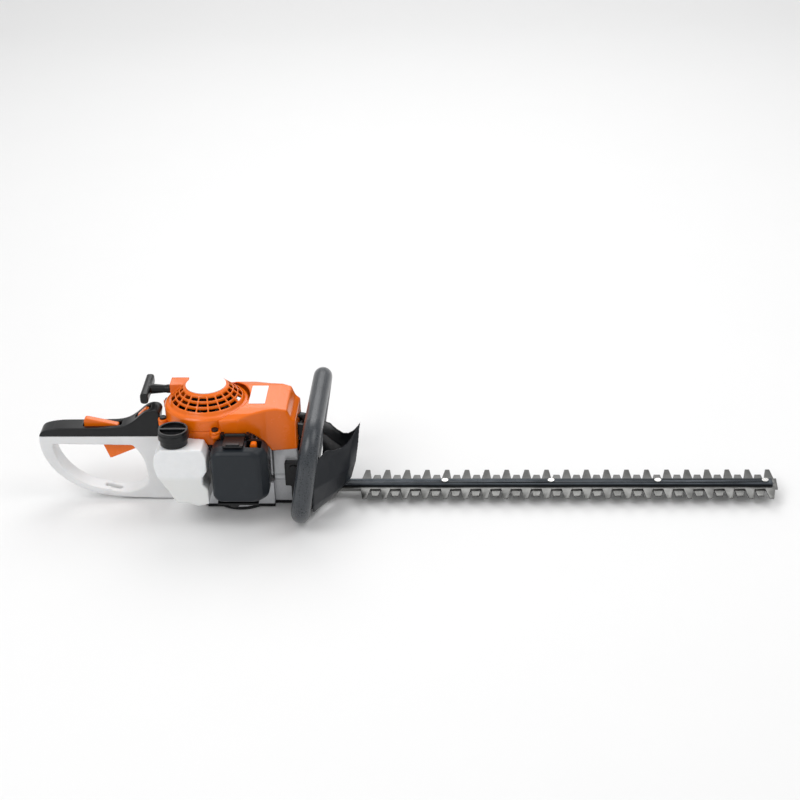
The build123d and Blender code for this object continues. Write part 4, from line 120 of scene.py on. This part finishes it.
class Shader:
    """One procedural material and the helpers that wire it."""

    def __init__(self, name: str) -> None:
        self.material = bpy.data.materials.new(name)
        self.material.use_nodes = True
        self.tree = self.material.node_tree
        self.bsdf = self.tree.nodes["Principled BSDF"]
        coordinates = self.tree.nodes.new("ShaderNodeTexCoord")
        self.place = Sock(self, coordinates.outputs["Object"])

    def node(self, kind: str, settings: dict[str, Any], inputs: Any, output: int | str = 0) -> Sock:
        """Adds any shader node.

        Args:
            kind: Blender's name of the node type.
            settings: Node attributes, set before the sockets.
            inputs: Socket values, as a list in order or a dictionary by name.
            output: Which output to return.

        Returns:
            The chosen output.
        """
        made = self.tree.nodes.new(kind)
        for key, value in settings.items():
            setattr(made, key, value)
        pairs = inputs.items() if isinstance(inputs, dict) else enumerate(inputs)
        for key, value in pairs:
            if value is not None:
                self.feed(made.inputs[key], value)
        return Sock(self, made.outputs[output])

    def feed(self, target: Any, value: Any) -> None:
        """Connects or sets one input socket.

        Args:
            target: The input socket.
            value: A shader value, a number or a vector.
        """
        if isinstance(value, Sock):
            self.tree.links.new(value.socket, target)
        else:
            target.default_value = value

    def stretch(self, axis: Axis) -> Sock:
        """Object coordinates, squeezed along the grain.

        Args:
            axis: Direction of the grain.

        Returns:
            The scaled coordinates.
        """
        if axis is Axis.NONE:
            return self.place
        return self.node("ShaderNodeVectorMath", {"operation": "MULTIPLY"}, [self.place, axis.value])

    def noise(self, scale: float, detail: float = 3.0, axis: Axis = Axis.NONE, rough: float = 0.55) -> Sock:
        """Fractal noise of the given scale.

        Args:
            scale: Cells in a metre.
            detail: Octaves.
            axis: Direction of the grain.
            rough: How strong the finer octaves are.

        Returns:
            Noise between 0 and 1.
        """
        inputs = {"Vector": self.stretch(axis), "Scale": scale, "Detail": detail, "Roughness": rough}
        return self.node("ShaderNodeTexNoise", {}, inputs)

    def cells(self, scale: float) -> Sock:
        """Distance to the nearest of many scattered points.

        Args:
            scale: Cells in a metre.

        Returns:
            The distance, about 0 to 1.
        """
        return self.node("ShaderNodeTexVoronoi", {}, {"Vector": self.place, "Scale": scale})

    def mix(self, factor: Any, low: Colour, high: Colour) -> Sock:
        """Blends two colours.

        Args:
            factor: 0 gives the first colour and 1 the second.
            low: First colour, or a colour socket.
            high: Second colour, or a colour socket.

        Returns:
            The blended colour.
        """
        made = self.tree.nodes.new("ShaderNodeMix")
        made.data_type = "RGBA"
        for index, value in ((0, factor), (6, low), (7, high)):
            if isinstance(value, tuple):
                value = (*value, 1.0)
            self.feed(made.inputs[index], value)
        return Sock(self, made.outputs[2])

    def bump(self, height: Sock, strength: float, distance: float, rounded: float = 0.0) -> None:
        """Feeds the surface normal.

        Args:
            height: Height of the relief, about 0 to 1.
            strength: How much of the relief shows.
            distance: Depth of the relief in metres.
            rounded: Radius in metres by which hard edges look rounded.
        """
        inputs: dict[str, Any] = {"Strength": strength, "Distance": distance, "Height": height}
        if rounded:
            inputs["Normal"] = self.node("ShaderNodeBevel", {"samples": 4}, {"Radius": rounded})
        self.feed(self.bsdf.inputs["Normal"], self.node("ShaderNodeBump", {}, inputs))

    def surface(self, **values: Any) -> None:
        """Sets Principled inputs, with underscores for spaces.

        Args:
            **values: Input names and what they get.
        """
        for key, value in values.items():
            if isinstance(value, tuple) and len(value) == 3 and "color" in key.lower():
                value = (*value, 1.0)
            self.feed(self.bsdf.inputs[key.replace("_", " ")], value)


@dataclass(frozen=True)
class Plastic:
    """Injection-moulded plastic.

    Attributes:
        colour: Main colour.
        roughness: Mean roughness.
        grain: Strength of the moulded texture.
        coat: Weight of the glossy skin.
        dust: How much lighter the scuffed patches are.
        grain_scale: Cells of the moulded texture in a metre.
        rounded: Radius in metres by which hard edges look rounded.
        subsurface: How much light goes into the plastic.
        shine: Specular level.
    """

    colour: Colour
    roughness: float = 0.4
    grain: float = 0.12
    coat: float = 0.0
    dust: float = 0.06
    grain_scale: float = 1600.0
    rounded: float = 0.0007
    subsurface: float = 0.0
    shine: float = 0.5

    def build(self, name: str) -> bpy.types.Material:
        """Makes the material.

        Args:
            name: Its name.

        Returns:
            The finished material.
        """
        shader = Shader(name)
        clouds = shader.noise(14.0, 4.0)
        marks = shader.noise(240.0, 3.0)
        scuffs = shader.noise(55.0, 6.0, Axis.NONE, 0.7).ramp(0.56, 0.78)
        grain = shader.noise(self.grain_scale, 2.0) * 0.6 + shader.cells(self.grain_scale * 0.7) * 0.4
        deep = tuple(c * 0.90 for c in self.colour)
        worn = tuple(min(1.0, c * (1.0 + self.dust) + self.dust * 0.25) for c in self.colour)
        base = shader.mix(clouds.ramp(0.35, 0.65), deep, self.colour)
        colour = shader.mix(scuffs * 0.55, base, worn)
        rough = self.roughness + (clouds - 0.5) * 0.10 + (marks - 0.5) * 0.08 + scuffs * 0.10
        shader.surface(Base_Color=colour, Roughness=rough.clamp(), Coat_Weight=self.coat, Coat_Roughness=0.12)
        shader.surface(Subsurface_Weight=self.subsurface, Specular_IOR_Level=self.shine)
        if self.subsurface:
            shader.surface(Subsurface_Radius=(0.006, 0.005, 0.004), Subsurface_Scale=1.0)
        shader.bump(grain, self.grain, 0.00012, self.rounded)
        return shader.material


@dataclass(frozen=True)
class Metal:
    """Bare metal with a grain, small scratches and stains.

    Attributes:
        colour: Main colour.
        roughness: Mean roughness.
        axis: Direction of the brushing.
        cast: Strength of the sand-cast relief.
        stain: How much darker the oiled patches are.
        metallic: How much of the surface is bare metal.
        rounded: Radius in metres by which hard edges look rounded.
    """

    colour: Colour
    roughness: float = 0.35
    axis: Axis = Axis.NONE
    cast: float = 0.0
    stain: float = 0.25
    metallic: float = 1.0
    rounded: float = 0.0004

    def build(self, name: str) -> bpy.types.Material:
        """Makes the material.

        Args:
            name: Its name.

        Returns:
            The finished material.
        """
        shader = Shader(name)
        streaks = shader.noise(2600.0, 2.0, self.axis)
        broad = shader.noise(420.0, 3.0, self.axis)
        stains = shader.noise(38.0, 6.0, Axis.NONE, 0.66).ramp(0.45, 0.75)
        pits = shader.noise(900.0, 4.0, Axis.NONE, 0.7)
        dark = tuple(c * (1.0 - self.stain) for c in self.colour)
        base = shader.mix(stains, self.colour, dark)
        light = tuple(min(1.0, c * 1.12) for c in self.colour)
        colour = shader.mix(broad.ramp(0.52, 0.72) * 0.5, base, light)
        rough = self.roughness + (streaks - 0.5) * 0.22 + stains * 0.10 + (broad - 0.5) * 0.08
        shader.surface(Base_Color=colour, Roughness=rough.clamp(), Metallic=self.metallic)
        relief = streaks * (1.0 - self.cast) + pits * self.cast
        shader.bump(relief, 0.10 + 0.35 * self.cast, 0.0001 + 0.0002 * self.cast, self.rounded)
        return shader.material


@dataclass(frozen=True)
class TankPlastic:
    """Milky blow-moulded polyethylene with fuel behind it."""

    colour: Colour = (0.80, 0.81, 0.82)
    fuel: Colour = (0.72, 0.725, 0.71)
    level_z: float = 0.085

    def build(self, name: str) -> bpy.types.Material:
        """Makes the material.

        Args:
            name: Its name.

        Returns:
            The finished material.
        """
        shader = Shader(name)
        height = shader.node("ShaderNodeSeparateXYZ", {}, [shader.place], 2)
        clouds = shader.noise(30.0, 4.0)
        wet = (height + (clouds - 0.5) * 0.006).ramp(self.level_z + 0.004, self.level_z - 0.004)
        flow = shader.noise(90.0, 4.0)
        dry = shader.mix(flow.ramp(0.4, 0.7) * 0.4, self.colour, (0.87, 0.88, 0.89))
        colour = shader.mix(wet * 0.75, dry, self.fuel)
        shader.surface(Base_Color=colour, Roughness=(0.34 + (flow - 0.5) * 0.16).clamp())
        shader.surface(Subsurface_Weight=0.6, Subsurface_Radius=(0.012, 0.011, 0.010), Coat_Weight=0.1)
        shader.bump(flow * 0.7 + shader.noise(900.0) * 0.3, 0.14, 0.0004)
        return shader.material


@dataclass(frozen=True)
class Felt:
    """Pleated filter felt."""

    colour: Colour = (0.72, 0.66, 0.52)

    def build(self, name: str) -> bpy.types.Material:
        """Makes the material.

        Args:
            name: Its name.

        Returns:
            The finished material.
        """
        shader = Shader(name)
        fibres = shader.noise(2200.0, 4.0)
        pleats = shader.node("ShaderNodeTexWave", {}, {"Vector": shader.place, "Scale": 110.0})
        colour = shader.mix(fibres, tuple(c * 0.75 for c in self.colour), self.colour)
        shader.surface(Base_Color=colour, Roughness=0.95)
        shader.bump(fibres * 0.4 + pleats * 0.6, 0.5, 0.0006)
        return shader.material


class Finish(Enum):
    """Every finish on the machine."""

    ORANGE = Plastic((0.88, 0.160, 0.001), 0.24, 0.05, 0.15, 0.01, 900.0, 0.0012, 0.0, 0.38)
    WHITE = Plastic((0.78, 0.785, 0.79), 0.34, 0.06, 0.15, 0.01, 1200.0, 0.0012, 0.15)
    BLACK = Plastic((0.006, 0.0065, 0.0075), 0.30, 0.12, 0.0, 0.05, 1700.0, 0.0009, 0.0, 0.32)
    SLATE = Plastic((0.013, 0.017, 0.022), 0.42, 0.22, 0.0, 0.05, 1300.0, 0.0010, 0.0, 0.32)
    GUARD = Plastic((0.009, 0.011, 0.015), 0.30, 0.06, 0.0, 0.04, 1500.0, 0.0008, 0.0, 0.35)
    RUBBER = Plastic((0.010, 0.010, 0.010), 0.62, 0.35, 0.0, 0.16, 1500.0, 0.0008)
    LABEL = Plastic((0.86, 0.86, 0.86), 0.30, 0.03, 0.30, 0.0, 1500.0, 0.0003)
    TANK = TankPlastic()
    BLADE = Metal((0.20, 0.20, 0.195), 0.40, Axis.Y, 0.0, 0.30)
    BAR = Metal((0.060, 0.068, 0.078), 0.40, Axis.X, 0.0, 0.30)
    STEEL = Metal((0.46, 0.46, 0.47), 0.34, Axis.NONE, 0.1, 0.25)
    BRIGHT = Metal((0.74, 0.73, 0.71), 0.16, Axis.NONE, 0.0, 0.12)
    CAST = Metal((0.66, 0.67, 0.69), 0.46, Axis.NONE, 0.9, 0.15, 0.55, 0.0008)
    MUFFLER = Metal((0.10, 0.095, 0.09), 0.55, Axis.NONE, 0.6, 0.30)
    FELT = Felt()


@dataclass(frozen=True)
class TubeFinish:
    """Dark moulded tube with fine lines along it."""

    colour: Colour = (0.020, 0.024, 0.029)
    high: Colour = (0.045, 0.052, 0.061)

    def build(self, name: str) -> bpy.types.Material:
        """Makes the material.

        Args:
            name: Its name.

        Returns:
            The finished material.
        """
        shader = Shader(name)
        lines = shader.noise(900.0, 3.0, Axis.Y) * 0.5 + shader.noise(900.0, 3.0, Axis.Z) * 0.5
        broad = shader.noise(60.0, 5.0)
        grain = shader.noise(1500.0, 2.0)
        colour = shader.mix(lines.ramp(0.40, 0.64), self.colour, self.high)
        rough = 0.30 + (lines - 0.5) * 0.35 + (broad - 0.5) * 0.12
        shader.surface(Base_Color=colour, Roughness=rough.clamp(), Coat_Weight=0.08, Coat_Roughness=0.3)
        shader.bump(lines * 0.6 + grain * 0.4, 0.12, 0.0001)
        return shader.material


class Finishes:
    """Makes each finish once and hands it out."""

    def __init__(self) -> None:
        self.made: dict[str, bpy.types.Material] = {}

    def get(self, finish: Any) -> bpy.types.Material:
        """Looks a material up, and makes it the first time.

        Args:
            finish: A member of Finish, or another finish dataclass.

        Returns:
            The material.
        """
        name = finish.name.lower() if isinstance(finish, Finish) else type(finish).__name__.lower()
        if name not in self.made:
            source = finish.value if isinstance(finish, Finish) else finish
            self.made[name] = source.build(name)
        return self.made[name]


NODE_FINISH: dict[str, Any] = {
    "bar_bolts": Finish.BRIGHT, "bar_bushings": Finish.STEEL, "bearings": Finish.STEEL,
    "blade_guard": Finish.GUARD, "carb_throttle_lever": Finish.STEEL, "carburettor": Finish.CAST,
    "choke_lever": Finish.ORANGE, "clutch_carrier": Finish.STEEL, "clutch_drum": Finish.STEEL,
    "clutch_shoes": Finish.STEEL, "connecting_rod": Finish.STEEL, "crank_gear": Finish.STEEL,
    "crankcase_lower": Finish.CAST, "crankcase_upper": Finish.CAST, "crankshaft": Finish.STEEL,
    "cylinder": Finish.CAST, "engine_cover": Finish.ORANGE, "fan_baffle": Finish.BLACK,
    "fan_wheel": Finish.BLACK, "filter_base": Finish.BLACK, "filter_cover": Finish.SLATE,
    "filter_element": Finish.FELT, "filter_latch": Finish.BLACK, "front_bracket": Finish.BLACK,
    "fuel_cap": Finish.BLACK, "fuel_hose": Finish.RUBBER, "fuel_tank": Finish.TANK,
    "gear_axle": Finish.STEEL, "gear_case": Finish.CAST, "gear_case_cover": Finish.BLACK,
    "gear_case_screws": Finish.STEEL, "grip_cover": Finish.BLACK, "guide_bar": Finish.BAR,
    "housing_screws": Finish.BLACK, "ignition_module": Finish.BLACK, "intake_spacer": Finish.BLACK,
    "labels": Finish.LABEL, "lever_pins": Finish.STEEL, "loop_handle": TubeFinish(),
    "lower_knife": Finish.BLADE, "mount_casting": Finish.CAST, "muffler": Finish.MUFFLER,
    "muffler_guard": Finish.BLACK, "piston": Finish.CAST, "piston_pin": Finish.STEEL,
    "plug_boot_and_lead": Finish.RUBBER, "primer_bulb": Finish.RUBBER, "rear_handle": Finish.WHITE,
    "rewind_spring": Finish.STEEL, "rope_pulley": Finish.BLACK, "rubber_mounts": Finish.RUBBER,
    "spark_plug": Finish.BRIGHT, "starter_grip": Finish.BLACK, "starter_housing": Finish.ORANGE,
    "starter_rope": Finish.RUBBER, "stop_switch": Finish.ORANGE, "throttle_cable": Finish.RUBBER,
    "throttle_trigger": Finish.ORANGE, "trigger_lockout": Finish.ORANGE, "upper_knife": Finish.BLADE,
}


class Maker:
    """Turns CAD nodes and plain mesh data into finished pieces."""

    def __init__(self, finishes: Finishes) -> None:
        self.finishes = finishes

    def place(self, mesh: bpy.types.Mesh, name: str) -> bpy.types.Object:
        """Puts a mesh in the scene as a new object.

        Args:
            mesh: The mesh data.
            name: The object's name.

        Returns:
            The new object.
        """
        piece = bpy.data.objects.new(name, mesh)
        bpy.context.scene.collection.objects.link(piece)
        return piece

    def settle(self, piece: bpy.types.Object) -> None:
        """Applies a piece's modifiers to its mesh.

        Args:
            piece: The object with modifiers.
        """
        graph = bpy.context.evaluated_depsgraph_get()
        mesh = bpy.data.meshes.new_from_object(piece.evaluated_get(graph))
        old = piece.data
        piece.modifiers.clear()
        piece.data = mesh
        bpy.data.meshes.remove(old)

    def dress(
        self, piece: bpy.types.Object, finish: Any, slot: str, body: str, nodes: Sequence[str] = ()
    ) -> bpy.types.Object:
        """Gives a piece its finish and body, and hides the CAD nodes it stands for.

        Args:
            piece: The object.
            finish: Its finish.
            slot: The record's material slot. Not used.
            body: The body it rides on.
            nodes: CAD nodes that it replaces.

        Returns:
            The same object.
        """
        piece.data.materials.clear()
        piece.data.materials.append(self.finishes.get(finish))
        for polygon in piece.data.polygons:
            polygon.use_smooth = True
            polygon.material_index = 0
        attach(piece, body)
        if nodes:
            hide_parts(*nodes)
        log.info("%s: %d faces", piece.name, len(piece.data.polygons))
        return piece

    def copy(self, node: str, name: str) -> bpy.types.Object:
        """Copies a CAD node's mesh, with its split corners welded.

        Args:
            node: The CAD node.
            name: Name of the copy.

        Returns:
            The new object.
        """
        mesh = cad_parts[node].data.copy()
        made = bmesh.new()
        made.from_mesh(mesh)
        bmesh.ops.remove_doubles(made, verts=made.verts, dist=2e-6)
        made.to_mesh(mesh)
        made.free()
        return self.place(mesh, name)

    def moulded(self, node: str, voxel: float, rounds: int, keep: float = 0.4) -> bpy.types.Object:
        """Copies a CAD node as a moulding with soft, rounded edges.

        Args:
            node: The CAD node.
            voxel: Size of the first mesh's cells in metres.
            rounds: Smoothing rounds, which set how round the edges are.
            keep: Share of the faces that stay.

        Returns:
            The new object.
        """
        piece = self.copy(node, f"{node}_shell")
        cells = piece.modifiers.new("cells", "REMESH")
        cells.mode = "VOXEL"
        cells.voxel_size = voxel
        ease = piece.modifiers.new("ease", "SMOOTH")
        ease.factor = 0.5
        ease.iterations = rounds
        thin = piece.modifiers.new("thin", "DECIMATE")
        thin.ratio = keep
        self.settle(piece)
        return piece

    def edged(self, node: str, width: float, segments: int = 2, angle: float = 35.0) -> bpy.types.Object:
        """Copies a CAD node with its sharp edges bevelled.

        Args:
            node: The CAD node.
            width: Bevel width in metres.
            segments: Facets across the bevel.
            angle: Least angle of an edge that is bevelled.

        Returns:
            The new object.
        """
        piece = self.copy(node, f"{node}_edged")
        bevel = piece.modifiers.new("bevel", "BEVEL")
        bevel.width = width
        bevel.segments = segments
        bevel.limit_method = "ANGLE"
        bevel.angle_limit = math.radians(angle)
        bevel.harden_normals = True
        self.settle(piece)
        return piece


@dataclass
class RearHandle:
    """Grip frame, its dark shell, and the controls on it."""

    maker: Maker
    frame_cell: float = 1.1 * MM
    shell_cell: float = 0.9 * MM
    control_cell: float = 0.6 * MM
    frame_rounds: int = 14
    shell_rounds: int = 8
    control_rounds: int = 6

    def build(self) -> None:
        """Makes the handle's pieces."""
        make = self.maker
        make.dress(
            make.moulded("rear_handle", self.frame_cell, self.frame_rounds), Finish.WHITE,
            "white_plastic", "chassis", ["rear_handle"],
        )
        make.dress(
            make.moulded("grip_cover", self.shell_cell, self.shell_rounds), Finish.BLACK,
            "black_plastic", "chassis", ["grip_cover"],
        )
        for node, body in (
            ("throttle_trigger", "trigger"), ("trigger_lockout", "lockout"), ("stop_switch", "stop_button"),
        ):
            make.dress(
                make.moulded(node, self.control_cell, self.control_rounds), Finish.ORANGE,
                "orange_plastic", body, [node],
            )


@dataclass
class Housing:
    """Orange hood and starter housing with the pull grip."""

    maker: Maker
    hood_cell: float = 1.0 * MM
    grille_cell: float = 0.6 * MM
    grip_cell: float = 0.8 * MM
    hood_rounds: int = 22
    grille_rounds: int = 4
    grip_rounds: int = 10
    grille_keep: float = 0.3

    def build(self) -> None:
        """Makes the hood, the grille and the grip."""
        make = self.maker
        make.dress(
            make.moulded("engine_cover", self.hood_cell, self.hood_rounds), Finish.ORANGE,
            "orange_plastic", "chassis", ["engine_cover"],
        )
        grille = make.moulded("starter_housing", self.grille_cell, self.grille_rounds, self.grille_keep)
        make.dress(grille, Finish.ORANGE, "orange_plastic", "chassis", ["starter_housing"])
        make.dress(
            make.moulded("starter_grip", self.grip_cell, self.grip_rounds), Finish.BLACK,
            "black_plastic", "pull_grip", ["starter_grip"],
        )


@dataclass
class FuelSide:
    """Fuel tank and air-filter cover."""

    maker: Maker
    tank_cell: float = 1.1 * MM
    cover_cell: float = 0.9 * MM
    tank_rounds: int = 16
    cover_rounds: int = 12

    def build(self) -> None:
        """Makes the tank and the filter cover."""
        make = self.maker
        make.dress(
            make.moulded("fuel_tank", self.tank_cell, self.tank_rounds), Finish.TANK,
            "tank_plastic", "chassis", ["fuel_tank"],
        )
        make.dress(
            make.moulded("filter_cover", self.cover_cell, self.cover_rounds), Finish.SLATE,
            "slate_plastic", "air_cover", ["filter_cover"],
        )


@dataclass
class Front:
    """Guard, bracket and the casting behind them."""

    maker: Maker
    cell: float = 0.9 * MM
    guard_rounds: int = 14
    bracket_rounds: int = 6
    casting_rounds: int = 5

    def build(self) -> None:
        """Makes the guard, the bracket and the casting."""
        make = self.maker
        for node, rounds, finish, slot in (
            ("blade_guard", self.guard_rounds, Finish.GUARD, "black_plastic"),
            ("front_bracket", self.bracket_rounds, Finish.BLACK, "black_plastic"),
            ("mount_casting", self.casting_rounds, Finish.CAST, "cast_aluminium"),
        ):
            make.dress(make.moulded(node, self.cell, rounds), finish, slot, "chassis", [node])


@dataclass
class Cutter:
    """Knives and the bar between them."""

    maker: Maker
    knife_edge: float = 0.35 * MM
    bar_edge: float = 0.6 * MM

    def build(self) -> None:
        """Makes the knives and the bar."""
        make = self.maker
        for node, body in (("upper_knife", "long_knife"), ("lower_knife", "short_knife")):
            make.dress(make.edged(node, self.knife_edge), Finish.BLADE, "blade_steel", body, [node])
        make.dress(make.edged("guide_bar", self.bar_edge), Finish.BAR, "steel", "chassis", ["guide_bar"])


class Carried:
    """Gives the CAD nodes that stay their finishes."""

    def __init__(self, maker: Maker) -> None:
        self.maker = maker

    def dress(self) -> None:
        """Puts each node's finish on its material slots."""
        for name, finish in NODE_FINISH.items():
            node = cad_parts.get(name)
            if node is None:
                raise KeyError(name)
            for slot in node.material_slots:
                slot.material = self.maker.finishes.get(finish)
        log.info("dressed %d nodes", len(NODE_FINISH))


@dataclass
class Studio:
    """Pale floor, soft lights and the camera."""

    eye: tuple[float, float, float] = (0.50588, -2.90888, 1.70098)
    turn: tuple[float, float, float] = (62.1424, 1.9541, 3.2975)
    lens: float = 101.0
    floor_colour: Colour = (0.86, 0.86, 0.86)
    lights: list[tuple[tuple[float, float, float], float, float]] = field(
        default_factory=lambda: [
            ((-1.1, -1.3, 2.3), 1.5, 25.0),
            ((1.7, -0.4, 2.3), 1.6, 16.0),
            ((0.2, 1.7, 1.9), 1.7, 20.0),
        ]
    )

    def floor(self) -> None:
        """Lays a pale sheet under the machine that rises behind it."""
        shader = Shader("floor")
        speckle = shader.noise(6.0, 3.0)
        colour = shader.mix(speckle, tuple(c * 0.985 for c in self.floor_colour), self.floor_colour)
        shader.surface(Base_Color=colour, Roughness=0.6)
        mesh = bpy.data.meshes.new("floor")
        made = bmesh.new()
        profile = [(-4.0, 0.0), (2.2, 0.0)]
        profile += [(2.2 + 1.6 * math.sin(a), 1.6 - 1.6 * math.cos(a)) for a in (0.3, 0.6, 0.9, 1.2, 1.5)]
        profile.append((3.9, 6.0))
        rows = [[made.verts.new((x, y, z - 0.0006)) for x in (-7.0, 7.0)] for y, z in profile]
        for low, high in zip(rows, rows[1:]):
            made.faces.new((low[0], low[1], high[1], high[0]))
        made.to_mesh(mesh)
        made.free()
        for polygon in mesh.polygons:
            polygon.use_smooth = True
        mesh.materials.append(shader.material)
        sheet = bpy.data.objects.new("floor", mesh)
        bpy.context.scene.collection.objects.link(sheet)

    def light(self) -> None:
        """Hangs three large soft lamps and a pale sky."""
        for index, (place, size, power) in enumerate(self.lights):
            lamp = bpy.data.lights.new(f"softbox_{index}", "AREA")
            lamp.shape = "SQUARE"
            lamp.size = size
            lamp.energy = power
            made = bpy.data.objects.new(f"softbox_{index}", lamp)
            made.location = place
            aim = Vector((0.2, 0.0, 0.08)) - Vector(place)
            made.rotation_euler = aim.to_track_quat("-Z", "Y").to_euler()
            bpy.context.scene.collection.objects.link(made)
        world = bpy.data.worlds.new("sky")
        world.use_nodes = True
        world.node_tree.nodes["Background"].inputs["Color"].default_value = (1.0, 1.0, 1.0, 1.0)
        world.node_tree.nodes["Background"].inputs["Strength"].default_value = 0.62
        bpy.context.scene.world = world

    def camera(self) -> None:
        """Sets the camera where the photographer stood."""
        lens = bpy.data.cameras.new("camera")
        lens.lens = self.lens
        lens.sensor_width = 36.0
        made = bpy.data.objects.new("camera", lens)
        made.location = self.eye
        made.rotation_euler = Euler([math.radians(v) for v in self.turn])
        bpy.context.scene.collection.objects.link(made)
        bpy.context.scene.camera = made


def main() -> None:
    """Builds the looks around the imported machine."""
    logging.basicConfig(level=logging.INFO)
    studio = Studio()
    studio.camera()
    studio.floor()
    studio.light()
    maker = Maker(Finishes())
    for assembly in (RearHandle, Housing, FuelSide, Front, Cutter):
        assembly(maker).build()
    Carried(maker).dress()
    bpy.context.scene.view_settings.view_transform = "Standard"


if __name__ == "__main__":
    main()
